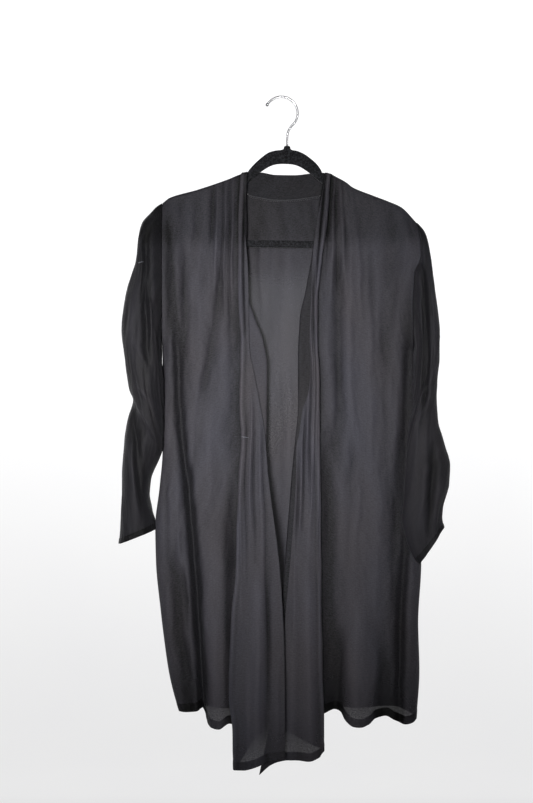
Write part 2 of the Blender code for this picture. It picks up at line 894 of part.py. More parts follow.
def build_hook(collection, cutters, material):
    """The hook: a wire arc and stem, joined with a ball at its tip."""
    angles = np.radians(np.linspace(HOOK_TIP_ANGLE, HOOK_LAST_ANGLE, HOOK_STEPS))
    centre_z = WIRE / 2 - HOOK_RADIUS
    arc_x = HOOK_CENTRE_X + HOOK_RADIUS * np.cos(angles)
    arc_z = centre_z + HOOK_RADIUS * np.sin(angles)
    points = [(x, 0, z) for x, z in zip(arc_x, arc_z)]
    points += [(x, 0, -drop) for x, drop in HOOK_STEM]
    curve = bpy.data.curves.new("hook", "CURVE")
    curve.dimensions = "3D"
    curve.bevel_depth = WIRE / 2 * MM
    curve.bevel_resolution = 2
    curve.use_fill_caps = True
    add_spline(curve, points, closed=False)
    wire = bpy.data.objects.new("hook", curve)
    collection.objects.link(wire)
    hook = mesh_of_curve(wire, material)
    bpy.ops.mesh.primitive_uv_sphere_add(
        segments=12, ring_count=8, radius=TIP_BALL / 2 * MM, location=np.array(points[0]) * MM
    )
    ball = bpy.context.object
    ball.name = "hook_tip_ball"
    ball.hide_render = True
    for owner in list(ball.users_collection):
        owner.objects.unlink(ball)
    cutters.objects.link(ball)
    join = hook.modifiers.new("tip_ball", "BOOLEAN")
    join.operation = "UNION"
    join.object = ball


def main():
    """Builds every piece of the coat and its hanger."""
    for old in list(bpy.data.objects):
        bpy.data.objects.remove(old, do_unlink=True)
    scene = bpy.context.scene
    coat = bpy.data.collections.new("kimono_coat_on_hanger")
    cutters = bpy.data.collections.new("cutters")
    for collection in (coat, cutters):
        scene.collection.children.link(collection)
    cloth = principled("black_viscose", (0.018, 0.018, 0.02), 0.72)
    velvet = principled("black_velvet", (0.006, 0.006, 0.007), 0.95)
    steel = principled("polished_steel", (0.62, 0.62, 0.64), 0.22, 1.0)

    cloth_object("front_right", front_points(RIGHT_FRONT), coat, cloth, 2, flip=True)
    cloth_object("front_left", front_points(LEFT_FRONT), coat, cloth, 2)
    cloth_object("back", back_points(), coat, cloth, 2)
    cloth_object("neck_band", band_points(), coat, cloth, 0)
    cloth_object("sleeve_right", sleeve_points(RIGHT_SLEEVE), coat, cloth, 2, closed=True)
    cloth_object("sleeve_left", sleeve_points(LEFT_SLEEVE), coat, cloth, 2, closed=True, flip=True)

    build_hanger(coat, velvet)
    build_hook(coat, cutters, steel)


if __name__ == "__main__":
    main()
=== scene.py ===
"""Looks of a long black kimono coat with a cascading front, on a slim velvet-covered hanger.

The coat faces -Y, and right and left are the wearer's. The tables are in millimetres, and a
height is given as a drop: the distance below the top of the hook's arc. Every cloth piece is a
grid of points worked out from two parameters, in the space that its CAD solid holds.
"""

import logging
import math
from collections.abc import Sequence
from dataclasses import dataclass
from enum import Enum
from typing import NamedTuple

import bpy
import numpy as np
from numpy.typing import NDArray
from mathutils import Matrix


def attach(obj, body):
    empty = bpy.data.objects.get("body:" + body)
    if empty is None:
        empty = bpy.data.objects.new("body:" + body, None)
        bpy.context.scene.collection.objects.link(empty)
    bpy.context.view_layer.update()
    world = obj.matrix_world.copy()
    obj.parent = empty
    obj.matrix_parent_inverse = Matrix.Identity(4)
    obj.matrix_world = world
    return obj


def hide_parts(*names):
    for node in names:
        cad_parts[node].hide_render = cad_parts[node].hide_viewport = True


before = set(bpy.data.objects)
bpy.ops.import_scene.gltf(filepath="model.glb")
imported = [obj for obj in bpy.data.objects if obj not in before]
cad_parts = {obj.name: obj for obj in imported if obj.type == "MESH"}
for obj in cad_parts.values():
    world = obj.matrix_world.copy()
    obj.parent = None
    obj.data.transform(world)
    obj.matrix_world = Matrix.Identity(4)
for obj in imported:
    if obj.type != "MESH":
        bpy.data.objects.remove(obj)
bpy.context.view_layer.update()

Array = NDArray[np.float64]
Colour = tuple[float, float, float]
log = logging.getLogger("kimono_coat")

MM = 0.001
UV_SPAN = 1.4

# Cloth thickness, and the hem that is folded up once more
CLOTH_WALL = 0.9
HEM_WALL = 1.9
HEM_DEPTH = 14.0
STITCH_UP = 12.0

# How the panels turn at the side seam, over the hanger and round the armhole
SEAM_HALF = 0.65
SEAM_GAP = 0.65
ARMHOLE_GAP = 1.0
SIDE_TURN = 28.0
SHOULDER_TURN = 5.0
ARM_DEPTH = 20.0
ARM_REACH = 60.0
UNDERARM_GAP = 1.6
UNDERARM_FROM = 0.75
FIT_ROWS = 4
PRESS_ROWS = 3

# The drapes lie in three layers. The turns between them grow from neck to hem.
TURN_AT_NECK = 2.1
TURN_AT_HEM = 2.7
NECK_DROP = 125.0
LONGEST_DROP = 1119.0

# The right drape is lifted over the left one below a drop, on the inner side of a line
LIFT_FROM = 560.0
LIFT_OVER = 200.0
LIFT_EDGE = -110.0
LIFT_WIDTH = 30.0

# The neck band leans back at its top
BAND_LEAN = 1.5

# Painted shade: the cloth over the hanger is painted darker and lets less light through.
# Light comes through the back below it and above the hems.
TOP_SHADE_DROP = 222.0
TOP_SHADE_FADE = 34.0
TOP_SHADE_MARK = 0.85
BACK_TOP_SHADE = 0.3
SHEER_FADE = 72.0
BACK_SHEER_DROP = 236
BACK_SHEER_FADE = 90
BACK_DIM_FROM = 400
BACK_DIM_OVER = 330

# Painted shade and light at the drapes' fold edges: a dark contact line that widens down
# the coat, a painted highlight on the edge and painted shade in a hollow further in
CONTACT_WIDTH = 7.0
CONTACT_FROM = 450
CONTACT_OVER = 400
CONTACT_GROWTH = 1.2
CONTACT_POWER = 1.2
EDGE_LIGHT = 1.4
EDGE_IN = 2.2
EDGE_WIDTH = 1.8
HOLLOW_DARK = 0.6
HOLLOW_IN = 8
HOLLOW_WIDTH = 2.6

# Creases this high give the darkest painted shade and the brightest painted light. The neck
# band has one even painted shade.
FRONT_FULL_SHADE = 6
DRAPE_FULL_SHADE = 3
BACK_FULL_SHADE = 9
SLEEVE_FULL_SHADE = 5
BAND_SHADE = -0.45

# What sewing and wear add: the crumple with painted light and shade, the sunk stitch line
# with painted shade along it, and its puckers
CRUMPLE = 0.42
CRUMPLE_LIGHT = 0.10
STITCH_SUNK = 0.45
LINE_SHADE = 0.35
LINE_WIDTH = 1.2
PUCKER = 0.22
PUCKER_PITCH = 6.4
PUCKER_REACH = 5
CALM_SIDE = 12
CALM_TOP = 16

# Grids
MAIN_COLUMNS = 112
SIDE_CLOSENESS = 1.35
TURN_COLUMNS = 5
UNDER_COLUMNS = 12
DRAPE_COLUMNS = 50
PANEL_ROWS = 208
SHOULDER_ROWS = (0.0, 0.5, 1.2, 2.2, 3.4, 5.0)
HEM_ROWS = 15
HEM_ZONE = 20.0


class Station(NamedTuple):
    """Where a line of the cut lies across the coat at one drop."""

    drop: float
    x: float


class Depth(NamedTuple):
    """How far the cloth stands out from the plane of the side seams at one drop."""

    drop: float
    out: float


class Edge(NamedTuple):
    """The drop of an upper or lower edge at one place across."""

    at: float
    drop: float


class Crease(NamedTuple):
    """One point of a long crease: its place, half width and height outwards."""

    drop: float
    x: float
    width: float
    out: float


class Ring(NamedTuple):
    """One ring of a sleeve: its outer and inner points and its depth before and behind."""

    outer_x: float
    outer_drop: float
    inner_x: float
    inner_drop: float
    front: float
    rear: float


class Fold(NamedTuple):
    """One short fold between two ends. A lean makes it steep on one side and soft on the other."""

    x: float
    drop: float
    to_x: float
    to_drop: float
    bow: float
    width: float
    out: float
    lean: float = 0.0


def table(kind: type, *rows: tuple) -> tuple:
    """Rows of one kind, with named columns."""
    return tuple(kind(*row) for row in rows)


FRONT_DEPTH = table(
    Depth, (120, 4.3), (170, 6), (230, 10), (330, 13), (500, 14), (700, 16), (1050, 20)
)
BACK_DEPTH = table(
    Depth, (120, 4.3), (170, 6), (230, 9), (330, 12), (500, 14), (700, 17), (1050, 21)
)
SHOULDER = table(
    Edge, (-200, 174), (-188, 165), (-143, 152), (-93, 135), (-71, 126), (-61, 123), (64, 125),
    (70, 128), (94, 139.5), (107, 148), (142, 161), (170, 171), (193, 181), (218, 206),
)
NECKLINE = table(
    Edge, (-70, 127), (-66, 143), (-61, 158), (-51, 162), (-40, 164), (-28, 166.5), (-16, 168),
    (0, 168.3), (16, 167.5), (28, 166.2), (40, 164.5), (51, 162.8), (60, 161), (65, 144), (69, 128),
)
BAND_TOP = table(
    Edge, (-70, 122.5), (-60, 121), (-38, 122), (-14, 126), (18, 126.5), (42, 124), (60, 122),
    (69, 123.5),
)
RIGHT_SIDE = table(
    Station, (174, -200), (408, -200), (581, -200), (643, -205), (706, -212), (762, -211),
    (846, -203), (888, -198), (944, -190), (980, -182), (1013, -172),
)
LEFT_SIDE = table(
    Station, (206, 218), (240, 224), (262, 224), (292, 213), (343, 211), (412, 213), (498, 215),
    (581, 218), (663, 221), (767, 226), (865, 221), (944, 223), (1024, 218),
)
RIGHT_ARMHOLE = (174.0, 408.0)
LEFT_ARMHOLE = (206.0, 412.0)
BACK_HEM = table(
    Edge, (-172, 1012), (-142, 1004), (-98, 1013), (-44, 1004), (8, 1012), (66, 1003), (120, 1012),
    (174, 1005), (218, 1020),
)
BACK_CREASES = (
    table(Crease, (190, -150, 10, 0), (400, -156, 12, -3), (700, -150, 14, -7), (1030, -142, 15, -11)),
    table(Crease, (200, -100, 12, 0), (420, -104, 15, 4), (720, -100, 18, 8), (1030, -98, 18, 12)),
    table(Crease, (175, -48, 8, 1), (330, -50, 10, -3), (700, -46, 13, -6), (1030, -44, 14, -9)),
    table(Crease, (172, 4, 10, 1), (420, 2, 14, 4), (720, 6, 18, 7), (1030, 8, 20, 10)),
    table(Crease, (175, 52, 8, 1), (330, 56, 10, -3), (700, 62, 13, -6), (1030, 66, 14, -9)),
    table(Crease, (200, 112, 12, 0), (420, 116, 15, 4), (720, 118, 18, 8), (1030, 120, 18, 11)),
    table(Crease, (230, 166, 10, 0), (450, 170, 12, -3), (700, 172, 13, -6), (1030, 174, 14, -9)),
)
BACK_FOLDS = table(
    Fold,
    (-38, 200, -36, 420, -2, 3.0, 1.6, 0.3),
    (-24, 240, -27, 380, 1, 2.6, -1.2),
    (28, 250, 31, 420, 2, 3.0, 1.4),
    (14, 330, 10, 640, -3, 4.5, 1.6, 0.2),
    (-12, 420, -4, 700, 3, 4.0, -1.6),
    (-120, 200, -124, 520, 3, 5.0, 2.4, 0.2),
    (-76, 190, -80, 460, -3, 4.0, 2.2),
    (82, 190, 86, 500, 3, 4.5, 2.2),
    (142, 220, 148, 560, -3, 5.0, 2.2, 0.3),
    (-178, 460, -120, 560, 4, 5.0, 1.8),
    (190, 470, 130, 580, -4, 5.0, 1.8),
    (-60, 700, -72, 1000, 4, 5.0, 2.0, 0.3),
    (30, 720, 38, 1000, -4, 5.0, 2.2),
    (90, 640, 96, 1000, 3, 4.5, -2.0),
    (148, 700, 146, 1000, 3, 5.0, 2.2, -0.3),
    (-166, 620, -170, 900, -3, 5.0, 2.0),
)


def smooth(rows: Sequence, at: Array, column: int = 1) -> Array:
    """A curve through the rows of a table: cubic between rows, with no overshoot.

    Args:
        rows: The table. Its first column is the station.
        at: Where to read the curve.
        column: The column whose values the curve runs through.

    Returns:
        The value at each station.
    """
    cells = np.array(rows, float)
    stations, values = cells[:, 0], cells[:, column]
    width = np.diff(stations)
    slope = np.diff(values) / width
    product = slope[:-1] * slope[1:]
    total = np.where(product > 0, slope[:-1] + slope[1:], 1.0)
    inner = np.where(product > 0, 2 * product / total, 0.0)
    tangent = np.concatenate([slope[:1], inner, slope[-1:]])
    at = np.clip(at, stations[0], stations[-1])
    i = np.clip(np.searchsorted(stations, at) - 1, 0, len(width) - 1)
    t = (at - stations[i]) / width[i]
    return (
        values[i] * (1 + 2 * t) * (1 - t) ** 2
        + values[i + 1] * t * t * (3 - 2 * t)
        + width[i] * (tangent[i] * t * (1 - t) ** 2 - tangent[i + 1] * t * t * (1 - t))
    )


def ease(t: Array) -> Array:
    """0 below 0, 1 above 1, and a soft step between."""
    t = np.clip(t, 0, 1)
    return t * t * (3 - 2 * t)


def rounded(t: Array) -> Array:
    """A quarter circle from 0 to 1."""
    return np.sqrt(1 - (1 - np.clip(t, 0, 1)) ** 2)


def relief(creases: Sequence, x: Array, drop: Array) -> Array:
    """How far the long creases move the cloth outwards.

    Each is height x exp(-(distance from its line / half width) squared), and its line, width
    and height change smoothly down the coat.

    Args:
        creases: Tables of Crease.
        x: Places across.
        drop: Drops.

    Returns:
        Millimetres outwards at each point.
    """
    out = np.zeros(np.broadcast(x, drop).shape)
    for crease in creases:
        centre, width, height = (smooth(crease, drop, k) for k in (1, 2, 3))
        reach = (drop >= crease[0].drop) & (drop <= crease[-1].drop + HEM_DEPTH)
        out += np.where(reach, height, 0) * np.exp(-(((x - centre) / width) ** 2))
    return out


def folded(folds: Sequence[Fold], x: Array, drop: Array) -> Array:
    """How far the short folds move the cloth outwards.

    Along runs from 0 to 1 between a fold's ends, and off is the distance from its bowed line.
    The height is out x sin(pi x along) to the power 0.6 x exp(-(off / half width) squared).

    Args:
        folds: The table of folds.
        x: Places across.
        drop: Drops.

    Returns:
        Millimetres outwards at each point.
    """
    height = np.zeros(np.broadcast(x, drop).shape)
    for fold in folds:
        run_x, run_drop = fold.to_x - fold.x, fold.to_drop - fold.drop
        length = math.hypot(run_x, run_drop)
        along = ((x - fold.x) * run_x + (drop - fold.drop) * run_drop) / length**2
        along = np.clip(along, 0, 1)
        off = ((x - fold.x) * run_drop - (drop - fold.drop) * run_x) / length
        off = off - 4 * fold.bow * along * (1 - along)
        width = fold.width * (1 + fold.lean * np.tanh(off / fold.width))
        height += fold.out * np.sin(math.pi * along) ** 0.6 * np.exp(-((off / width) ** 2))
    return height


def crumple(x: Array, drop: Array, seed: int, waves: int = 44) -> Array:
    """Small soft unevenness of hanging cloth: a sum of sine waves that mostly run downwards.

    Args:
        x: Places across, or round.
        drop: Drops, or lengths down.
        seed: Seed of the waves.
        waves: How many waves.

    Returns:
        Millimetres, mostly between -1 and 1.
    """
    draw = np.random.default_rng(seed)
    out = np.zeros(np.broadcast(x, drop).shape)
    for _ in range(waves):
        length = 9.0 * 7.0 ** draw.random()
        turn = draw.normal(0.0, 0.28)
        phase = draw.random() * 2 * math.pi
        swing = 2.2 * np.sin(drop / (60 + 90 * draw.random()) + 6.3 * draw.random())
        across = (x + swing) * math.cos(turn) + drop * math.sin(turn)
        out += length**0.75 * np.sin(2 * math.pi * across / length + phase)
    return out / (12.0 * math.sqrt(waves / 2))


def grid_lengths(points: Array) -> tuple[Array, Array]:
    """The distance across and down a grid, measured on its own surface.

    Args:
        points: Grid of points, rows by columns by 3.

    Returns:
        Distance from the first column, and distance from the first row.
    """
    across = np.linalg.norm(np.diff(points, axis=1), axis=2)
    down = np.linalg.norm(np.diff(points, axis=0), axis=2)
    across = np.concatenate([np.zeros((len(points), 1)), np.cumsum(across, axis=1)], axis=1)
    down = np.concatenate([np.zeros((1, points.shape[1])), np.cumsum(down, axis=0)])
    return across, down


def grid_normals(points: Array, closed: bool) -> Array:
    """Unit normals of a grid: the cross product of its row and column directions.

    Args:
        points: Grid of points, rows by columns by 3.
        closed: Whether the last column meets the first.

    Returns:
        A unit vector for each point.
    """
    if closed:
        wide = np.concatenate([points[:, -1:], points, points[:, :1]], axis=1)
        across = (wide[:, 2:] - wide[:, :-2]) / 2
    else:
        across = np.gradient(points, axis=1)
    normal = np.cross(np.gradient(points, axis=0), across)
    return normal / np.maximum(np.linalg.norm(normal, axis=2, keepdims=True), 1e-9)


class Surface(NamedTuple):
    """A finished grid: its points, its outward normals and what its cloth does at each point."""

    points: Array
    normals: Array
    shade: Array
    hem_and_shaded_top: Array
    sheer: Array
    closed: bool


def mesh_object(name: str, points: Array, faces: list, unit: float = MM) -> bpy.types.Object:
    """A smooth mesh object at the origin.

    Args:
        name: Name of the object and its mesh.
        points: Its points, in any grid of rows of 3.
        faces: Its faces, as lists of points.
        unit: Metres for each unit of the points.

    Returns:
        The object, linked to the scene.
    """
    mesh = bpy.data.meshes.new(name)
    mesh.from_pydata((points.reshape(-1, 3) * unit).tolist(), [], faces)
    mesh.shade_smooth()
    piece = bpy.data.objects.new(name, mesh)
    bpy.context.scene.collection.objects.link(piece)
    return piece


def ring_quads(ring: Array) -> Array:
    """Quads between the rings of a tube, as a list of four points each.

    Args:
        ring: The point numbers, a row for each ring.

    Returns:
        Rows of four point numbers.
    """
    aside = np.roll(ring, -1, axis=1)
    return np.stack([ring[:-1], ring[1:], aside[1:], aside[:-1]], axis=2).reshape(-1, 4)


def lengths_along(path: Array) -> Array:
    """The distance of each point of a path from its start, measured along it."""
    return np.concatenate([[0], np.cumsum(np.linalg.norm(np.diff(path, axis=0), axis=1))])


def grid_object(name: str, surface: Surface, flip: bool) -> bpy.types.Object:
    """A mesh of quads from a grid, with a UV map in cloth lengths and three marks on its points.

    Args:
        name: Name of the object.
        surface: The grid.
        flip: Whether the quads turn the other way.

    Returns:
        The object, at the origin.
    """
    points = surface.points
    rows, columns = points.shape[:2]
    index = np.arange(rows * columns).reshape(rows, columns)
    wide = points
    if surface.closed:
        index = np.column_stack([index, index[:, 0]])
        wide = np.concatenate([points, points[:, :1]], axis=1)
    lengths = np.stack(grid_lengths(wide), axis=2) * MM / UV_SPAN
    corners = ((slice(None, -1), slice(None, -1)), (slice(None, -1), slice(1, None)),
               (slice(1, None), slice(1, None)), (slice(1, None), slice(None, -1)))
    if flip:
        corners = corners[::-1]
    quads = np.stack([index[corner] for corner in corners], axis=2).reshape(-1, 4)
    chart = np.stack([lengths[corner] for corner in corners], axis=2)
    piece = mesh_object(name, points, quads.tolist())
    piece.data.uv_layers.new(name="cloth").data.foreach_set("uv", chart.ravel())
    for mark in ("shade", "hem_and_shaded_top", "sheer"):
        values = np.broadcast_to(getattr(surface, mark), (rows, columns))
        piece.data.attributes.new(mark, "FLOAT", "POINT").data.foreach_set("value", values.ravel())
    return piece


def give_wall(piece: bpy.types.Object, hem_and_shaded_top: Array) -> None:
    """Gives a cloth grid its thickness, more where the hem is doubled.

    Args:
        piece: The grid's object.
        hem_and_shaded_top: 1 on the doubled hem, up to 0.85 in the painted shade over the hanger, 0
            elsewhere.
    """
    group = piece.vertex_groups.new(name="hem")
    group.add(np.flatnonzero(hem_and_shaded_top.ravel() > 0.9).tolist(), 1.0, "REPLACE")
    wall = piece.modifiers.new("wall", "SOLIDIFY")
    wall.thickness = HEM_WALL * MM
    wall.offset = 0
    wall.vertex_group = "hem"
    wall.thickness_vertex_group = CLOTH_WALL / HEM_WALL


class Value:
    """A number that varies over a surface. Its operators add the nodes that work it out."""

    def __init__(self, shader: "Shader", socket: bpy.types.NodeSocket) -> None:
        """Wraps one output socket of a shader."""
        self.shader = shader
        self.socket = socket

    def _math(self, operation: str, *numbers: "Value | float") -> "Value":
        """The result of one Math node."""
        values = dict(zip(("Value", "Value_001"), numbers))
        return self.shader.value("ShaderNodeMath", {"operation": operation}, values)

    def __add__(self, other: "Value | float") -> "Value":
        """Sum."""
        return self._math("ADD", self, other)

    def __radd__(self, other: float) -> "Value":
        """Sum, with the number first."""
        return self._math("ADD", other, self)

    def __sub__(self, other: "Value | float") -> "Value":
        """Difference."""
        return self._math("SUBTRACT", self, other)

    def __rsub__(self, other: float) -> "Value":
        """Difference, with the number first."""
        return self._math("SUBTRACT", other, self)

    def __mul__(self, other: "Value | float") -> "Value":
        """Product."""
        return self._math("MULTIPLY", self, other)

    def __rmul__(self, other: float) -> "Value":
        """Product, with the number first."""
        return self._math("MULTIPLY", other, self)

    def swing(self, strength: float) -> "Value":
        """Its distance from a half, times a strength."""
        return strength * (self - 0.5)

    def sine(self) -> "Value":
        """Its sine."""
        return self._math("SINE", self)

    def clipped(self, low: float, high: float) -> "Value":
        """Itself, kept between two numbers."""
        return self._math("MINIMUM", self._math("MAXIMUM", self, low), high)


class Shader:
    """The nodes of one material."""

    def __init__(self, name: str) -> None:
        """Makes an empty material with one Principled shader.

        Args:
            name: Name of the material.
        """
        self.material = bpy.data.materials.new(name)
        self.material.use_nodes = True
        self.tree = self.material.node_tree
        self.tree.nodes.clear()
        output = self.node("ShaderNodeOutputMaterial")
        self.principled = self.node("ShaderNodeBsdfPrincipled")
        self.tree.links.new(self.principled.outputs[0], output.inputs[0])

    def node(
        self, kind: str, settings: dict | None = None, values: dict | None = None
    ) -> bpy.types.Node:
        """Adds a node.

        Args:
            kind: Blender's name of the node type.
            settings: The node's own properties, set first.
            values: Sockets by identifier or name, with a number, a colour or a link.

        Returns:
            The node.
        """
        node = self.tree.nodes.new(kind)
        for key, setting in (settings or {}).items():
            setattr(node, key, setting)
        self.feed(node, values or {})
        return node

    def feed(self, node: bpy.types.Node, values: dict) -> None:
        """Sets or links a node's sockets.

        Args:
            node: The node.
            values: Sockets by identifier or name, with a number, a colour or a link.
        """
        for key, value in values.items():
            found = [s for s in node.inputs if s.identifier == key]
            socket = (found or [s for s in node.inputs if s.name == key])[0]
            if isinstance(value, Value):
                self.tree.links.new(value.socket, socket)
            elif isinstance(value, tuple) and len(value) == 3 and socket.type == "RGBA":
                socket.default_value = (*value, 1.0)
            else:
                socket.default_value = value

    def value(
        self, kind: str, settings: dict | None = None, values: dict | None = None, output: str = ""
    ) -> Value:
        """Adds a node and wraps one of its outputs.

        Args:
            kind: Blender's name of the node type.
            settings: The node's own properties.
            values: Sockets by identifier or name, with a number, a colour or a link.
            output: Identifier or name of the output. The first is taken if none is named.

        Returns:
            The wrapped output.
        """
        node = self.node(kind, settings, values)
        found = [s for s in node.outputs if output in (s.identifier, s.name)]
        return Value(self, (found or list(node.outputs))[0])

    def attribute(self, name: str) -> Value:
        """A number painted on the piece's points."""
        return self.value("ShaderNodeAttribute", {"attribute_name": name}, output="Fac")

    def cloth_place(self, scale_u: float, scale_v: float) -> Value:
        """The place on the cloth in metres from its UV map, times a scale each way."""
        chart = self.value("ShaderNodeUVMap", {"uv_map": "cloth"})
        return self.value(
            "ShaderNodeVectorMath",
            {"operation": "MULTIPLY"},
            {"Vector": chart, "Vector_001": (scale_u * UV_SPAN, scale_v * UV_SPAN, 1.0)},
        )

    def object_place(self, scale: float) -> Value:
        """The place in the object's own coordinates, times a scale."""
        place = self.value("ShaderNodeTexCoord", output="Object")
        return self.value(
            "ShaderNodeVectorMath", {"operation": "SCALE"}, {"Vector": place, "Scale": scale}
        )

    def axis(self, place: Value, letter: str) -> Value:
        """One coordinate of a place."""
        return self.value("ShaderNodeSeparateXYZ", values={"Vector": place}, output=letter)

    def noise(self, place: Value, detail: float = 2.0, roughness: float = 0.5) -> Value:
        """Soft noise from 0 to 1 at a place that is already scaled."""
        return self.value(
            "ShaderNodeTexNoise",
            values={"Vector": place, "Scale": 1.0, "Detail": detail, "Roughness": roughness},
            output="Fac",
        )

    def object_noise(self, scale: float, detail: float = 2.0, roughness: float = 0.6) -> Value:
        """Soft noise over the object's own coordinates, with a feature every 1 / scale metres."""
        return self.noise(self.object_place(scale), detail, roughness)

    def mixed(self, share: Value, first: Colour, second: Colour) -> Value:
        """A colour between two."""
        return self.value(
            "ShaderNodeMix",
            {"data_type": "RGBA"},
            {"Factor_Float": share, "A_Color": first, "B_Color": second},
            "Result_Color",
        )

    def scaled(self, colour: Value, by: Value | float) -> Value:
        """A colour made lighter or darker."""
        return self.value(
            "ShaderNodeVectorMath", {"operation": "SCALE"}, {"Vector": colour, "Scale": by}
        )

    def bump(self, height: Value, distance: float, strength: float) -> Value:
        """A normal from a height, in metres for a height of 1."""
        return self.value(
            "ShaderNodeBump", values={"Height": height, "Distance": distance, "Strength": strength}
        )

    def finish(self, values: dict) -> bpy.types.Material:
        """Feeds the Principled shader and returns the material."""
        self.feed(self.principled, values)
        return self.material


@dataclass(frozen=True)
class ViscoseFinish:
    """Thin plain-woven viscose: fine threads, slubs, a dull sheen and a little light through it.

    Each kind of unevenness has its features to a metre across and down the cloth, and the
    share by which it makes the cloth lighter and darker.
    """

    name: str
    cool: Colour = (0.0348, 0.0342, 0.0426)
    warm: Colour = (0.0376, 0.0345, 0.0394)
    sheer: float = 0.0
    # A scale below 1 paints the whole cloth darker, as painted shade
    shade_scale: float = 1.0
    thread: float = 0.00085
    # Painted shade in the creases' troughs and painted light on their ridges
    trough_dark: float = 0.70
    ridge_light: float = 0.38
    # Darker on the doubled hem, and painted shade on the cloth over the hanger
    hem_and_top_dark: float = 0.45
    slubs: tuple[float, float] = (150.0, 620.0)
    slub_light: float = 0.75
    streaks: tuple[float, float] = (640.0, 70.0)
    streak_light: float = 0.3
    mottles: tuple[float, float] = (400.0, 460.0)
    mottle_light: float = 1.1
    patches: tuple[float, float] = (9.0, 4.0)
    bump_height: float = 0.0005

    def material(self) -> bpy.types.Material:
        """Colour from slubs, mottling and painted light and shade; bump from the weave; alpha where it is
        sheer.

        The weave is the product of two sine waves, one for each way of the threads. The colour is
        darker on the doubled hem; painted shade darkens the creases' troughs and the cloth over
        the hanger, painted light brightens the ridges, and a scale below 1 paints a whole copy of
        the cloth in shade.

        Returns:
            The material.
        """
        shader = Shader(self.name)
        hem_and_shaded_top, shade = shader.attribute("hem_and_shaded_top"), shader.attribute("shade")
        slub = shader.noise(shader.cloth_place(*self.slubs))
        streak = shader.noise(shader.cloth_place(*self.streaks))
        mottle = shader.noise(shader.cloth_place(*self.mottles), 3.0, 0.6)
        patch = shader.noise(shader.cloth_place(*self.patches))
        light = 1.0 + slub.swing(self.slub_light) + streak.swing(self.streak_light)
        light = light + mottle.swing(self.mottle_light)
        # Painted shade in the creases' troughs and painted light on their ridges
        light = light + self.trough_dark * shade.clipped(-1.0, 0.0)
        # The hem term darkens the doubled hem and paints shade on the cloth over the hanger
        light = light + self.ridge_light * shade.clipped(0.0, 1.0) - self.hem_and_top_dark * hem_and_shaded_top
        # Painted shade over a whole copy of the cloth
        light = light * self.shade_scale
        warmth = (patch.swing(3.0) + 0.5).clipped(0.0, 1.0)
        colour = shader.scaled(shader.mixed(warmth, self.cool, self.warm), light)
        turns = 2 * math.pi / self.thread
        threads = shader.cloth_place(turns, turns)
        weave = shader.axis(threads, "X").sine() * shader.axis(threads, "Y").sine()
        height = 0.30 * weave + 0.55 * slub + 0.35 * mottle
        values = {
            "Base Color": colour,
            "Roughness": (0.56 + 0.14 * mottle).clipped(0.4, 0.8),
            "Normal": shader.bump(height, self.bump_height, 0.35),
            "Specular IOR Level": 0.16,
            "Sheen Weight": 0.05,
            "Sheen Roughness": 0.5,
            "Sheen Tint": (0.62, 0.62, 0.68, 1.0),
        }
        if self.sheer:
            open_weave = shader.attribute("sheer") * (0.1 + 1.8 * mottle) * self.sheer
            values["Alpha"] = 1.0 - open_weave
        return shader.finish(values)


@dataclass(frozen=True)
class ThreadFinish:
    """Sewing thread: one colour with a fine twist."""

    name: str
    colour: Colour

    def material(self) -> bpy.types.Material:
        """Colour and bump from fine noise.

        Returns:
            The material.
        """
        shader = Shader(self.name)
        fibre = shader.object_noise(1900.0)
        colour = shader.mixed(fibre, self.colour, tuple(0.7 * part for part in self.colour))
        return shader.finish(
            {
                "Base Color": colour,
                "Roughness": (0.5 + 0.25 * fibre).clipped(0.4, 0.9),
                "Normal": shader.bump(fibre, 0.0001, 0.5),
                "Sheen Weight": 0.2,
            }
        )


@dataclass(frozen=True)
class VelvetFinish:
    """Flocked velvet: very dark, with a pale bloom and a speckled nap."""

    name: str = "black_velvet"
    dark: Colour = (0.0040, 0.0040, 0.0044)
    light: Colour = (0.0330, 0.0335, 0.0375)

    def material(self) -> bpy.types.Material:
        """Colour from the nap's speckle and its rubbed patches.

        Returns:
            The material.
        """
        shader = Shader(self.name)
        nap = shader.object_noise(330.0, 4.0, 0.8)
        rubbed = shader.object_noise(55.0, 2.0, 0.5)
        share = ((nap.swing(4.0) + 0.35) * (0.4 + rubbed)).clipped(0.0, 1.0)
        return shader.finish(
            {
                "Base Color": shader.mixed(share, self.dark, self.light),
                "Roughness": (0.86 + 0.12 * nap).clipped(0.8, 1.0),
                "Normal": shader.bump(nap, 0.0004, 0.7),
                "Specular IOR Level": 0.1,
                "Sheen Weight": 0.35,
                "Sheen Roughness": 0.35,
            }
        )


@dataclass(frozen=True)
class SteelFinish:
    """Polished plated steel with faint drawing marks."""

    name: str = "polished_steel"
    bright: Colour = (0.84, 0.84, 0.85)
    dull: Colour = (0.76, 0.76, 0.78)

    def material(self) -> bpy.types.Material:
        """Colour and roughness from faint patches, bump from fine marks.

        Returns:
            The material.
        """
        shader = Shader(self.name)
        marks = shader.object_noise(900.0, 3.0)
        patch = shader.object_noise(120.0, 2.0, 0.5)
        return shader.finish(
            {
                "Base Color": shader.mixed(patch, self.bright, self.dull),
                "Metallic": 1.0,
                "Roughness": (0.27 + 0.06 * patch + 0.03 * marks).clipped(0.2, 0.45),
                "Normal": shader.bump(marks, 0.00002, 0.2),
            }
        )


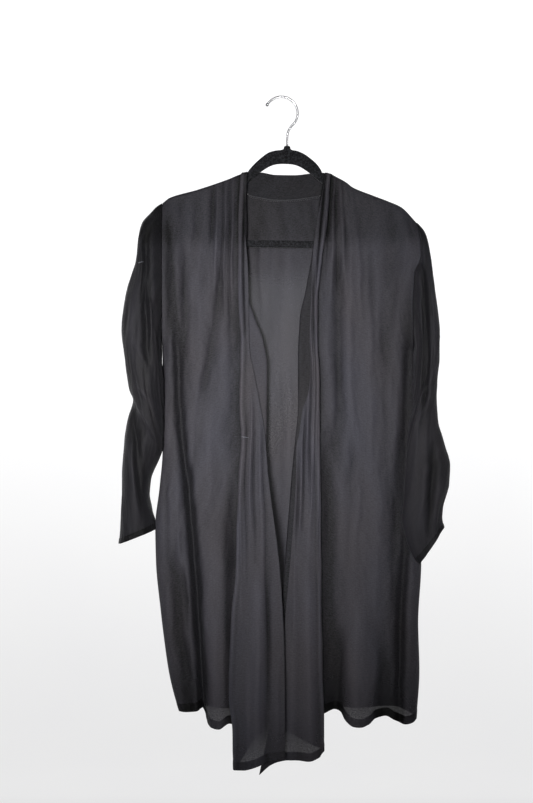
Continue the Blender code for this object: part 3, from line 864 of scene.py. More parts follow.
@dataclass(frozen=True)
class PaperFinish:
    """The matt white of the studio's floor and wall, brighter behind the coat."""

    name: str = "studio_white"
    reflected: float = 0.25

    def material(self) -> bpy.types.Material:
        """A pale diffuse white with its own light, which grows away from the camera and upwards.

        Returns:
            The material.
        """
        shader = Shader(self.name)
        grain = shader.object_noise(3.0, 2.0, 0.5)
        place = shader.object_place(0.25)
        away, high = shader.axis(place, "Y"), shader.axis(place, "Z")
        glow = (0.10 + 1.2 * away).clipped(0.06, 1.0) * (1.05 + 0.8 * high).clipped(0.5, 1.0)
        white = shader.mixed(grain, (1.0, 1.0, 1.0), (0.98, 0.98, 0.99))
        return shader.finish(
            {
                "Base Color": shader.scaled(white, self.reflected),
                "Roughness": 1.0,
                "Specular IOR Level": 0.0,
                "Emission Color": shader.scaled(white, glow),
                "Emission Strength": 1.0,
            }
        )


class Layer(Enum):
    """Which way a cloth piece's grid normals point when they are taken as they come."""

    OUTWARD = 1.0
    INWARD = -1.0


def armhole_opening(armhole: tuple[float, float], drop: Array) -> Array:
    """How far an armhole is open: the upper half of a circle over its length."""
    middle, half = sum(armhole) / 2, (armhole[1] - armhole[0]) / 2
    return np.sqrt(1 - np.clip((drop - middle) / half, -1, 1) ** 2)


def panel_drops(top: Array, hem: Array) -> Array:
    """Drops of a panel's rows: close under the shoulder and at the hem, and even between.

    Args:
        top: The drop of each column's upper edge.
        hem: The drop of each column's lower edge.

    Returns:
        A row for each height and a column for each column.
    """
    upper = np.array(SHOULDER_ROWS)[:, None]
    even = np.linspace(0, 1, PANEL_ROWS + 1)[1:-1, None]
    start = top + upper[-1]
    lower = np.linspace(HEM_ZONE, 0, HEM_ROWS)[:, None]
    return np.vstack([top + upper, start + even * (hem - HEM_ZONE - start), hem - lower])


def panel_depth(
    depths: Sequence, inward: Array, creased: Array, drop: Array, below_top: Array, opening: Array
) -> Array:
    """The distance of a panel from the plane of the side seams.

    The body rises over a quarter circle from the side seam and over another from the shoulder,
    and its distance and the armhole's bulge add as the sides of a right angle do.

    Args:
        depths: Table of Depth.
        inward: Distance from the side seam.
        creased: What the creases add.
        drop: Drops.
        below_top: Distance below the upper edge.
        opening: How far the armhole is open.

    Returns:
        Millimetres from the plane.
    """
    body = smooth(depths, drop) + creased
    body = SEAM_HALF + (body - SEAM_HALF) * rounded(inward / SIDE_TURN)
    body = SEAM_HALF + (body - SEAM_HALF) * rounded(below_top / SHOULDER_TURN)
    bulge = ARM_DEPTH * opening * (1 - ease(inward / ARM_REACH))
    return np.hypot(body, bulge)


def above_hem(to_hem: Array) -> Array:
    """1 just above the hem, where few layers hang behind each other, fading to 0 higher up."""
    return 1 - ease((to_hem - HEM_DEPTH) / SHEER_FADE)


def sewn(
    points: Array, way: Layer, to_hem: Array, shade: Array, seed: int, calm: Array,
    sheer: Array | float = 0.0, closed: bool = False,
) -> Surface:
    """A grid with what sewing and wear add: unevenness, a sunk stitch line and its puckers.

    Along each normal it adds the crumple, a trough exp(-(distance / 1 mm) squared) at the stitch
    line, and a sine pucker along it that fades over the pucker's reach. The crumple also
    adds painted light and shade, and the stitch line a line of painted shade.

    Args:
        points: Grid of points.
        way: Which way the grid's own normals point.
        to_hem: Distance up from the lower edge.
        shade: Painted light and shade from the folds.
        seed: Seed of the unevenness.
        calm: 1 where the cloth moves freely, and 0 where a seam holds it.
        sheer: 1 where light comes through the cloth.
        closed: Whether the grid is a tube.

    Returns:
        The finished surface.
    """
    normals = grid_normals(points, closed) * way.value
    across, down = grid_lengths(points)
    uneven = crumple(across, down, seed)
    off_line = to_hem - STITCH_UP
    pucker = np.sin(across * 2 * math.pi / PUCKER_PITCH + 2 * np.sin(across / 23))
    pucker = pucker * np.exp(-((off_line / PUCKER_REACH) ** 2))
    move = CRUMPLE * uneven * calm - STITCH_SUNK * np.exp(-(off_line**2)) + PUCKER * pucker
    points = points + normals * move[..., None]
    # Painted shade over the hanger: the top rows are marked darker and less sheer, like the doubled hem
    top_shade = TOP_SHADE_MARK * (1 - ease((-points[..., 2] - TOP_SHADE_DROP) / TOP_SHADE_FADE))
    hem_and_shaded_top = np.where(to_hem <= STITCH_UP + LINE_WIDTH, 1.0, top_shade)
    # Painted shade along the sunk stitch line, and painted light and shade on the crumple
    line_shade = LINE_SHADE * np.exp(-((off_line / LINE_WIDTH) ** 2))
    shade = np.clip(shade + CRUMPLE_LIGHT * uneven * calm - line_shade, -1, 1)
    normals = grid_normals(points, closed) * way.value
    return Surface(points, normals, shade, hem_and_shaded_top, (1 - hem_and_shaded_top) * sheer, closed)


@dataclass(frozen=True)
class Cut:
    """How a cloth piece was cut, and what it hangs from."""

    width: float
    length: float
    area: float
    hangs_from: tuple[str, ...]


@dataclass(frozen=True)
class Stitches:
    """A row of sewing stitches: small rounded bars of thread."""

    pitch: float = 3.1
    length: float = 2.2
    radius: float = 0.26
    lift: float = 0.12

    def build(self, name: str, path: Array, out: Array, finish: ThreadFinish) -> bpy.types.Object:
        """Lays stitches along a path.

        Each is a six-sided bar whose four rings have radii of 0.5, 1, 1 and 0.5, set along the
        path at equal steps and just off the cloth.

        Args:
            name: Name of the object.
            path: Points on the cloth's surface.
            out: The cloth's unit normals there.
            finish: The thread.

        Returns:
            The stitches, as one object.
        """
        run = lengths_along(path)
        at = np.arange(self.pitch, run[-1] - self.pitch, self.pitch)
        middle = np.column_stack([np.interp(at, run, path[:, k]) for k in range(3)])
        ahead = np.column_stack([np.interp(at + 0.5, run, path[:, k]) for k in range(3)]) - middle
        upward = np.column_stack([np.interp(at, run, out[:, k]) for k in range(3)])
        ahead /= np.linalg.norm(ahead, axis=1, keepdims=True)
        aside = np.cross(ahead, upward)
        aside /= np.linalg.norm(aside, axis=1, keepdims=True)
        upward = np.cross(aside, ahead)
        turn = np.arange(6) * math.pi / 3
        along = np.repeat([-0.5, -0.3, 0.3, 0.5], 6) * self.length
        size = np.repeat([0.5, 1.0, 1.0, 0.5], 6) * self.radius
        wide, high = size * np.tile(np.cos(turn), 4), size * np.tile(np.sin(turn), 4)
        corners = (
            middle[:, None]
            + along[None, :, None] * ahead[:, None]
            + wide[None, :, None] * aside[:, None]
            + (high + self.lift)[None, :, None] * upward[:, None]
        )
        ring = np.arange(24).reshape(4, 6)
        quads = ring_quads(ring)[:, [0, 3, 2, 1]]
        start = np.arange(len(at))[:, None, None] * 24
        sides = (quads[None] + start).reshape(-1, 4).tolist()
        caps = (np.stack([ring[0][::-1], ring[3]])[None] + start).reshape(-1, 6).tolist()
        row = mesh_object(name, corners, sides + caps)
        row.data.materials.append(finish.material())
        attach(row, "root")
        log.info("%s: %d stitches", name, len(at))
        return row


BLACK_THREAD = ThreadFinish("black_thread", (0.042, 0.042, 0.049))
PALE_THREAD = ThreadFinish("grey_thread", (0.11, 0.115, 0.14))


def dress_cloth(
    name: str, node: str, surface: Surface, flip: bool, finish: ViscoseFinish, hem: bool
) -> Surface:
    """Makes a cloth piece of a surface, with its hem stitches, and declares both to the frame.

    Args:
        name: Name of the new piece.
        node: The CAD node that it stands for.
        surface: Its grid.
        flip: Whether its quads turn the other way.
        finish: Its cloth.
        hem: Whether its lower edge has a stitched hem.

    Returns:
        The surface, for what is sewn on it.
    """
    piece = grid_object(name, surface, flip)
    piece.data.materials.append(finish.material())
    give_wall(piece, np.broadcast_to(surface.hem_and_shaded_top, surface.shade.shape))
    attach(piece, "root")
    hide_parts(node)
    rows = []
    if hem:
        line = -1 - round(STITCH_UP * (HEM_ROWS - 1) / HEM_ZONE)
        path, out = surface.points[line], surface.normals[line]
        if surface.closed:
            path, out = np.vstack([path, path[:1]]), np.vstack([out, out[:1]])
        path = path + out * CLOTH_WALL / 2
        rows = [Stitches().build(name + "_hem_stitches", path, out, BLACK_THREAD)]
    grid = surface.points
    quads = np.cross(np.diff(grid[:-1], axis=1), np.diff(grid[:, :-1], axis=0))
    area = np.linalg.norm(quads, axis=2).sum()
    log.info("%s: %d quads, %.3f square metres", name, len(piece.data.polygons), area * MM * MM)
    return surface


@dataclass(frozen=True)
class FrontPanel:
    """One front, cut in one piece with its drape.

    Its section runs from the side seam to the under fold (stations 0 to 1), turns (1 to 2),
    runs back to the fold edge (2 to 3), turns (3 to 4) and runs to the leading edge (4 to 5).
    """

    name: str
    node: str
    way: int
    side: tuple
    armhole: tuple[float, float]
    under_fold: tuple
    fold_edge: tuple
    leading: tuple
    hem: tuple
    creases: tuple
    drape_creases: tuple
    folds: tuple
    drape_folds: tuple
    lift: float
    under_shade: float
    seed: int
    cut: Cut
    finish: ViscoseFinish

    def stations(self) -> Array:
        """The columns, close at the side seam, in the turns and over the drape.

        Returns:
            A station from 0 to 5 for each column.
        """
        main = np.linspace(0, 1, MAIN_COLUMNS) ** SIDE_CLOSENESS
        turn = np.linspace(0, 1, TURN_COLUMNS + 1)[1:]
        under = np.linspace(0, 1, UNDER_COLUMNS + 1)[1:]
        drape = np.linspace(0, 1, DRAPE_COLUMNS + 1)[1:]
        return np.concatenate([main, 1 + turn, 2 + under, 3 + turn, 4 + drape])

    def section(self, station: Array, drop: Array) -> tuple[Array, Array]:
        """The folded section: three straight runs, joined by two half circles.

        Args:
            station: Stations from 0 to 5.
            drop: Drops.

        Returns:
            The x of each point, and how far it lies before the main panel.
        """
        side, under, edge, lead = (
            smooth(line, drop) for line in (self.side, self.under_fold, self.fold_edge, self.leading)
        )
        share = ease((drop - NECK_DROP) / (LONGEST_DROP - NECK_DROP))
        turn = TURN_AT_NECK + (TURN_AT_HEM - TURN_AT_NECK) * share
        under = under - self.way * turn
        edge = edge + self.way * turn
        swing = self.way * turn * np.sin(math.pi * (station - 1))
        near = turn * (1 - np.cos(math.pi * (station - 1)))
        layers = [station <= 1, station <= 2, station <= 3, station <= 4]
        runs = [
            side + station * (under - side),
            under + swing,
            under + (station - 2) * (edge - under),
            edge - swing,
        ]
        x = np.select(layers, runs, edge + (station - 4) * (lead - edge))
        forward = np.select(layers, [0 * turn, near, 2 * turn, 2 * turn + near], 4 * turn)
        return x, forward

    def surface(self) -> Surface:
        """The grid: a row for each height and a column for each station.

        Each point is the section's, moved forwards by the panel's depth, and its folds wander
        sideways by two sine waves of the drop. The painted shade is that of the creases, with a
        painted highlight on the fold edge, painted shade in a hollow beside it, a soft dark line of
        painted shade where the main panel goes under the drape, and the under layer's painted shade.

        Returns:
            The finished surface.
        """
        station = self.stations()
        across, _ = self.section(station, np.zeros_like(station) + self.armhole[0])
        top, hem = smooth(SHOULDER, across), smooth(self.hem, station)
        drop = panel_drops(top, hem)
        x, forward = self.section(station[None, :], drop)
        inward = self.way * (x - smooth(self.side, drop))
        wander = 1.6 * np.sin(drop / 71 + self.seed) + 0.9 * np.sin(drop / 29 + x / 40)
        creased = relief(self.creases, x, drop) + folded(self.folds, x + wander, drop)
        low = ease((drop - LIFT_FROM) / LIFT_OVER)
        lifted = self.lift * low * ease((x - LIFT_EDGE) / LIFT_WIDTH)
        opening = armhole_opening(self.armhole, drop)
        depth = panel_depth(FRONT_DEPTH, inward, creased + lifted, drop, drop - top, opening)
        over = relief(self.drape_creases, x, drop) + folded(self.drape_folds, x + wander, drop)
        on_drape = ease(station - 3.5)
        depth += on_drape * over
        points = np.stack([x, -(depth + forward), -drop], axis=2)
        calm = ease(inward / CALM_SIDE) * ease((drop - top) / CALM_TOP)
        calm = calm * np.where(station > 1, 0.5, 1.0)
        beside = self.way * (smooth(self.fold_edge, drop) - x)
        reach = CONTACT_WIDTH * (1 + CONTACT_GROWTH * ease((drop - CONTACT_FROM) / CONTACT_OVER))
        contact = np.exp(-((np.maximum(beside, 0) / reach) ** CONTACT_POWER)) * (station <= 1)
        under = self.under_shade * (np.abs(station - 2.2) < 1.1)
        edge_highlight = EDGE_LIGHT * np.exp(-(((beside + EDGE_IN) / EDGE_WIDTH) ** 2)) * (station > 3)
        hollow = HOLLOW_DARK * np.exp(-(((beside + HOLLOW_IN) / HOLLOW_WIDTH) ** 2))
        on_top = edge_highlight + on_drape * (over / DRAPE_FULL_SHADE - hollow)
        shade = creased / FRONT_FULL_SHADE + on_top - contact + under
        way = Layer.OUTWARD if self.way > 0 else Layer.INWARD
        return sewn(points, way, hem - drop, shade, self.seed, calm, above_hem(hem - drop))

    def build(self) -> Surface:
        """Makes the piece and returns its surface."""
        return dress_cloth(
            self.name, self.node, self.surface(), self.way > 0, self.finish, True
        )


SHEER_VISCOSE = ViscoseFinish("black_viscose_sheer", sheer=0.17)
# The sleeves' copy of the cloth is painted darker all over, as painted shade
SHADED_SLEEVE_VISCOSE = ViscoseFinish("black_viscose_sleeve_shaded", shade_scale=0.55)
VISCOSE = ViscoseFinish("black_viscose")

RIGHT_FRONT = FrontPanel(
    name="front_right_cloth",
    node="front_right",
    way=1,
    side=RIGHT_SIDE,
    armhole=RIGHT_ARMHOLE,
    under_fold=table(
        Station, (123, -62), (251, -62), (330, -58), (365, -48), (401, -34), (444, -28),
        (556, -29), (663, -30), (762, -33), (861, -36), (1060, -36),
    ),
    fold_edge=table(
        Station, (123, -71), (213, -75), (323, -75), (412, -71), (508, -73), (564, -70),
        (606, -73), (696, -77), (785, -79), (851, -86), (982, -90), (1034, -84), (1110, -83),
    ),
    leading=table(
        Station, (122, -61), (210, -64), (292, -59), (409, -57), (470, -46), (559, -31),
        (612, -27), (670, -20), (746, -10), (802, -5), (871, -1), (952, 1), (1095, 1.5),
    ),
    hem=table(
        Edge, (0, 1010), (0.1, 1011), (0.22, 1009), (0.30, 1004), (0.34, 1024), (0.4, 1034),
        (0.49, 1036), (0.63, 1025), (1, 1036), (2, 1040), (3, 1092), (4, 1098), (4.18, 1098),
        (4.47, 1090), (4.7, 1084), (5, 1080),
    ),
    creases=(
        table(
            Crease, (195, -192, 6, 0), (270, -188, 7, -6), (432, -175, 8, -9), (560, -168, 8, -11),
            (643, -157, 8, -14), (883, -139, 8, -16), (1050, -128, 8, -17),
        ),
        table(Crease, (170, -196, 14, 0), (240, -194, 15, -3), (460, -194, 15, -3), (560, -194, 14, 0)),
        table(Crease, (230, -164, 8, 0), (300, -164, 8, -5), (400, -163, 9, -5), (520, -156, 9, 0)),
        table(
            Crease, (225, -100, 10, 0), (330, -108, 10, -4), (450, -125, 10, -4), (549, -145, 9, 0)
        ),
        table(Crease, (300, -84, 8, 0), (380, -82, 9, -3), (540, -82, 10, -3), (640, -88, 9, 0)),
        table(
            Crease, (720, -186, 10, 0), (790, -178, 12, -5), (880, -170, 13, -6), (960, -160, 12, -7),
            (1040, -152, 12, -8),
        ),
        table(Crease, (560, -86, 8, 0), (700, -92, 9, -4), (880, -98, 10, -5), (1040, -98, 10, -6)),
        table(
            Crease, (700, -112, 18, 0), (800, -110, 18, 5), (950, -108, 18, 10), (1050, -106, 18, 12)
        ),
    ),
    drape_creases=(
        table(Crease, (760, -48, 8, 0), (850, -42, 9, 5), (950, -44, 10, 7), (1110, -46, 12, 9)),
        table(Crease, (700, -20, 6, 0), (840, -27, 5, -2), (950, -27, 5, -2), (1100, -30, 6, -2)),
    ),
    folds=table(
        Fold,
        (-112, 118, -120, 300, -2, 3.2, -2.2),
        (-106, 118, -112, 330, -2, 2.6, 3.0, 0.3),
        (-99, 118, -104, 310, 2, 2.0, -2.6),
        (-94, 118, -98, 360, -1, 2.2, 3.2, 0.3),
        (-88, 118, -91, 400, 1, 2.0, -3.0),
        (-83, 118, -85, 330, 0, 2.0, 3.0),
        (-137, 230, -141, 420, 0, 5.0, 1.6, 0.3),
        (-120, 236, -122, 330, 0, 3.0, 1.4),
        (-168, 770, -160, 880, 2, 4.0, -4.0),
        (-172, 640, -168, 790, -2, 4.0, 2.0),
        (-196, 560, -188, 780, 0, 5.0, -2.5),
        (-150, 175, -158, 260, 2, 5.0, 1.6),
        (-132, 480, -118, 700, 3, 8.0, 2.0),
    ),
    drape_folds=table(
        Fold,
        (-68, 118, -71, 420, 0, 1.6, 2.2),
        (-64, 150, -66, 400, 0, 1.4, -2.0),
        (-67, 520, -70, 860, -2, 1.8, 2.8, 0.4),
        (-62, 500, -60, 800, 0, 2.2, -2.2),
        (-55, 480, -54, 720, 0, 1.8, 2.6, 0.3),
        (-50, 500, -46, 760, 0, 2.2, -2.2),
        (-42, 520, -36, 780, 2, 3.0, 1.8, 0.3),
        (-36, 540, -28, 700, 0, 2.4, -1.6),
        (-64, 900, -60, 1090, 2, 4.0, 2.0),
        (-28, 660, -24, 1000, -3, 3.0, -2.0, 0.3),
        (-10, 900, -12, 1085, 0, 4.0, 1.8),
    ),
    lift=18.0,
    under_shade=0.0,
    seed=11,
    cut=Cut(0.31, 0.98, 0.24, ("hanger",)),
    finish=SHEER_VISCOSE,
)

LEFT_FRONT = FrontPanel(
    name="front_left_cloth",
    node="front_left",
    way=-1,
    side=LEFT_SIDE,
    armhole=LEFT_ARMHOLE,
    under_fold=table(
        Station, (126, 66), (208, 53), (259, 46), (317, 36), (366, 26), (432, 23), (498, 23),
        (564, 18), (630, 12), (680, 8), (746, 3), (812, -3), (911, -8), (1051, -13),
    ),
    fold_edge=table(
        Station, (126, 76), (201, 71), (267, 62), (343, 55), (398, 55), (460, 58), (597, 59),
        (795, 61), (927, 62), (1016, 65), (1080, 65),
    ),
    leading=table(
        Station, (126, 67), (150, 64), (181, 58), (229, 50), (277, 46), (333, 44), (399, 42),
        (449, 43), (490, 39), (515, 30), (551, 25), (574, 20), (630, 19), (700, 15), (762, 10),
        (828, 4), (927, -7), (1026, -23), (1119, -43),
    ),
    hem=table(
        Edge, (0, 1022), (0.03, 1028), (0.09, 1030), (0.16, 1024), (0.225, 1017), (0.3, 1020),
        (0.35, 1029), (0.41, 1033), (0.46, 1032), (0.52, 1022), (0.555, 1009), (0.6, 1007),
        (0.67, 1012), (1, 1031), (2, 1036), (3, 1067), (4, 1074), (4.05, 1081), (4.25, 1087),
        (4.53, 1085), (4.71, 1088), (4.85, 1094), (5, 1110),
    ),
    creases=(
        table(
            Crease, (240, 92, 9, 0), (300, 90, 9, -5), (498, 90, 9, -5), (560, 85, 9, -4),
            (650, 98, 9, 0),
        ),
        table(Crease, (260, 107, 10, 0), (340, 107, 10, 4), (500, 108, 10, 3), (600, 112, 10, 0)),
        table(
            Crease, (270, 206, 12, 0), (380, 205, 12, -6), (500, 203, 12, -8), (620, 192, 15, -7),
            (760, 184, 15, -6), (1040, 178, 15, -4),
        ),
        table(Crease, (200, 182, 16, 0), (300, 174, 16, -2), (400, 172, 16, -2), (500, 176, 14, 0)),
        table(Crease, (520, 74, 9, 0), (640, 74, 12, -4), (900, 76, 13, -6), (1040, 80, 13, -8)),
        table(Crease, (860, 95, 9, 0), (900, 93, 9, -5), (975, 90, 10, -9), (1030, 84, 12, -11)),
        table(Crease, (700, 200, 7, 0), (762, 198, 7, -6), (883, 191, 7, -9), (1040, 190, 7, -8)),
        table(Crease, (780, 118, 18, 0), (950, 118, 18, 8), (1040, 118, 18, 11)),
        table(Crease, (850, 163, 13, 0), (960, 163, 13, -5), (1030, 163, 13, -8)),
    ),
    drape_creases=(
        table(Crease, (330, 50, 4, 0), (450, 52, 4, 3), (560, 49, 4, 4), (700, 42, 5, 2), (800, 38, 5, 0)),
        table(Crease, (760, 38, 8, 0), (880, 40, 9, 5), (1080, 44, 11, 8)),
        table(Crease, (840, 16, 7, 0), (960, 14, 8, 3), (1090, 12, 9, 4)),
    ),
    folds=table(
        Fold,
        (96, 126, 106, 330, 2, 2.8, -3.0),
        (92, 124, 98, 300, 2, 2.4, 3.0),
        (87, 122, 90, 330, -1, 2.0, -2.8),
        (84, 122, 78, 340, 0, 2.2, 3.2, 0.3),
        (80, 122, 70, 300, 0, 1.8, -2.8),
        (122, 226, 126, 380, 2, 4.0, 1.8, 0.3),
        (146, 230, 148, 420, 0, 5.0, -1.8),
        (110, 140, 124, 300, 2, 4.0, 1.6),
        (112, 560, 108, 640, 2, 5.0, -2.2),
        (140, 300, 138, 620, 3, 7.0, 1.8),
        (166, 330, 170, 640, -3, 7.0, -1.8),
        (200, 520, 196, 730, 2, 5.0, -2.5),
        (128, 640, 112, 800, -3, 6.0, 1.8),
        (150, 640, 148, 860, 3, 7.0, 1.6),
        (176, 760, 172, 980, -2, 7.0, 2.0),
    ),
    drape_folds=table(
        Fold,
        (74, 118, 57, 360, 0, 1.8, 2.4),
        (69, 118, 52, 330, 0, 1.6, -2.2),
        (52, 250, 53, 620, 1, 1.5, 2.6, 0.3),
        (48.5, 300, 50, 640, 1, 1.4, -2.6),
        (45, 330, 46, 680, -1, 1.5, 2.6, -0.3),
        (41, 380, 42, 700, 1, 1.5, -2.6),
        (37.5, 450, 38, 660, 0, 1.6, 2.4),
        (34, 490, 31, 720, 0, 1.7, -2.4),
        (30, 540, 26, 720, 0, 1.8, 2.2, 0.3),
        (25, 580, 21, 760, 0, 2.0, -2.2),
        (56, 460, 57, 1000, 0, 1.6, 2.0),
        (22, 700, 12, 900, 0, 3.0, 1.8, 0.4),
        (50, 940, 52, 1080, 2, 4.0, -2.0),
    ),
    lift=0.0,
    under_shade=-0.95,
    seed=23,
    cut=Cut(0.36, 0.99, 0.29, ("hanger",)),
    finish=SHEER_VISCOSE,
)


@dataclass(frozen=True)
class BackPanel:
    """The back, from the neckline and shoulders to its hem."""

    name: str = "back_cloth"
    columns: int = 210
    closeness: float = 0.09
    step_in: float = 8.0
    seed: int = 37
    cut: Cut = Cut(0.44, 0.88, 0.37, ("hanger",))

    def surface(self) -> Surface:
        """The grid: a row for each height and a column for each place across.

        The columns stand closer at both sides, by a sine. Each point is moved back by the
        panel's depth, and its folds wander sideways by two sine waves of the drop.

        Returns:
            The finished surface.
        """
        right_top, left_top = RIGHT_SIDE[0].x, LEFT_SIDE[0].x
        even = np.linspace(0, 1, self.columns)
        station = even - self.closeness * np.sin(2 * math.pi * even)
        across = right_top + station * (left_top - right_top)
        inside = np.minimum(across - NECKLINE[0].at, NECKLINE[-1].at - across)
        top = np.where(inside >= 0, smooth(NECKLINE, across), smooth(SHOULDER, across))
        hem = smooth(BACK_HEM, RIGHT_SIDE[-1].x + station * (LEFT_SIDE[-1].x - RIGHT_SIDE[-1].x))
        drop = panel_drops(top, hem)
        right_x, left_x = smooth(RIGHT_SIDE, drop), smooth(LEFT_SIDE, drop)
        x = right_x + station * (left_x - right_x)
        inward = np.minimum(x - right_x, left_x - x)
        opening = np.where(
            station < 0.5,
            armhole_opening(RIGHT_ARMHOLE, drop),
            armhole_opening(LEFT_ARMHOLE, drop),
        )
        below_top = drop - top + SHOULDER_TURN * ease(inside / self.step_in)
        wander = 1.8 * np.sin(drop / 83) + 0.9 * np.sin(drop / 31 + x / 45)
        creased = relief(BACK_CREASES, x, drop) + folded(BACK_FOLDS, x + wander, drop)
        depth = panel_depth(BACK_DEPTH, inward, creased, drop, below_top, opening)
        points = np.stack([x, depth, -drop], axis=2)
        calm = ease(inward / CALM_SIDE) * ease((drop - top) / CALM_TOP)
        low = ease((drop - BACK_DIM_FROM) / BACK_DIM_OVER) * (1 - above_hem(hem - drop))
        sheer = ease((drop - BACK_SHEER_DROP) / BACK_SHEER_FADE) * (1 - 0.5 * low)
        # Painted shade at the top of the back, over the hanger
        top_shade = 1 - ease((drop - TOP_SHADE_DROP) / BACK_SHEER_FADE)
        shade = creased / BACK_FULL_SHADE - BACK_TOP_SHADE * top_shade
        return sewn(points, Layer.INWARD, hem - drop, shade, self.seed, calm, sheer)

    def build(self) -> Surface:
        """Makes the piece and returns its surface."""
        return dress_cloth(self.name, "back", self.surface(), False, SHEER_VISCOSE, True)


@dataclass(frozen=True)
class NeckBand:
    """The back neck band, standing behind the hanger's arch."""

    name: str = "neck_band_cloth"
    columns: int = 150
    rows: int = 26
    seed: int = 41
    cut: Cut = Cut(0.16, 0.045, 0.0066, ("hanger", "back_cloth"))

    def surface(self) -> Surface:
        """The grid: straight between the two edges, leaning back a little.

        Returns:
            The finished surface.
        """
        across = np.linspace(NECKLINE[0].at, NECKLINE[-1].at, self.columns)
        low = smooth(NECKLINE, across)
        low = low - SEAM_GAP * np.hypot(1, np.gradient(low, across))
        high = smooth(BAND_TOP, across)
        share = np.linspace(0, 1, self.rows)[:, None]
        drop = high + share * (low - high)
        y = smooth(BACK_DEPTH, low) + BAND_LEAN * (1 - share) * np.ones_like(drop)
        x = across + 0 * drop
        points = np.stack([x, y, -drop], axis=2)
        calm = ease(share * 5) * ease((1 - share) * 5) * 0.5 * np.ones_like(drop)
        far = 0 * drop + 10 * HEM_ZONE
        # The whole band takes one even painted shade
        return sewn(points, Layer.INWARD, far, 0 * drop + BAND_SHADE, self.seed, calm)

    def build(self) -> Surface:
        """Makes the band and returns its surface."""
        return dress_cloth(self.name, "neck_band", self.surface(), False, VISCOSE, False)


@dataclass(frozen=True)
class SleevePiece:
    """One three-quarter sleeve: rings from the armhole to the cuff."""

    name: str
    node: str
    way: int
    side: tuple
    rings: tuple
    front_creases: tuple
    rear_creases: tuple
    front_folds: tuple
    rear_folds: tuple
    seed: int
    cut: Cut
    # Painted shade over the whole sleeve, stronger on the right one
    sleeve_shade: float
    around: int = 132
    rows: int = 124

    def surface(self) -> Surface:
        """The grid: a row for each ring and a column for each place round it.

        A ring is an ellipse whose long axis runs from the ring's outer point to its inner one.
        The first rings are drawn in to the armhole's seam.

        Returns:
            The finished surface.
        """
        angle = np.arange(self.around) * 2 * math.pi / self.around
        cosine, sine = np.cos(angle), np.sin(angle)
        last = len(self.rings) - 1
        cells = np.column_stack([np.arange(last + 1), np.array(self.rings)])
        row = np.concatenate(
            [np.linspace(0, last - 1, self.rows)[:-1], np.linspace(last - 1, last, HEM_ROWS)]
        )
        outer_x, outer_drop, inner_x, inner_drop, front, rear = (
            smooth(cells, row, k)[:, None] for k in range(1, 7)
        )
        x = (outer_x + inner_x) / 2 + (outer_x - inner_x) / 2 * cosine
        drop = (outer_drop + inner_drop) / 2 + (outer_drop - inner_drop) / 2 * cosine
        seam = smooth(self.side, drop[0]) + self.way * ARMHOLE_GAP
        seam = seam + self.way * UNDERARM_GAP * ease((-cosine - UNDERARM_FROM) / (1 - UNDERARM_FROM))
        x = x + (seam - x[0]) * np.clip(1 - row / FIT_ROWS, 0, 1)[:, None] ** 2
        y = (front + rear) / 2 - (rear - front) / 2 * sine
        pressed = np.clip(row / PRESS_ROWS, 0, 1)[:, None] * np.sqrt(np.abs(sine))
        wander = 1.4 * np.sin(drop / 47 + self.seed)
        before = relief(self.front_creases, x, drop) + folded(self.front_folds, x + wander, drop)
        behind = relief(self.rear_creases, x, drop) + folded(self.rear_folds, x + wander, drop)
        creased = np.where(sine > 0, before, behind) * pressed
        points = np.stack([x, y - np.sign(sine) * creased, -drop], axis=2)
        _, down = grid_lengths(points)
        to_hem = down[-1] - down
        hem_share = (last - row)[:, None] * STITCH_UP * HEM_ZONE / HEM_DEPTH
        calm = ease(row[:, None] / 2) * np.ones_like(drop)
        way = Layer.OUTWARD if self.way < 0 else Layer.INWARD
        # Painted light and shade of the creases, less the sleeve's painted shade
        shade = creased / SLEEVE_FULL_SHADE - self.sleeve_shade
        to_hem = np.where(to_hem > HEM_ZONE, 90.0, hem_share)
        return sewn(points, way, to_hem, shade, self.seed, calm, closed=True)

    def build(self) -> Surface:
        """Makes the sleeve and returns its surface."""
        return dress_cloth(
            self.name, self.node, self.surface(), self.way > 0, SHADED_SLEEVE_VISCOSE, True
        )


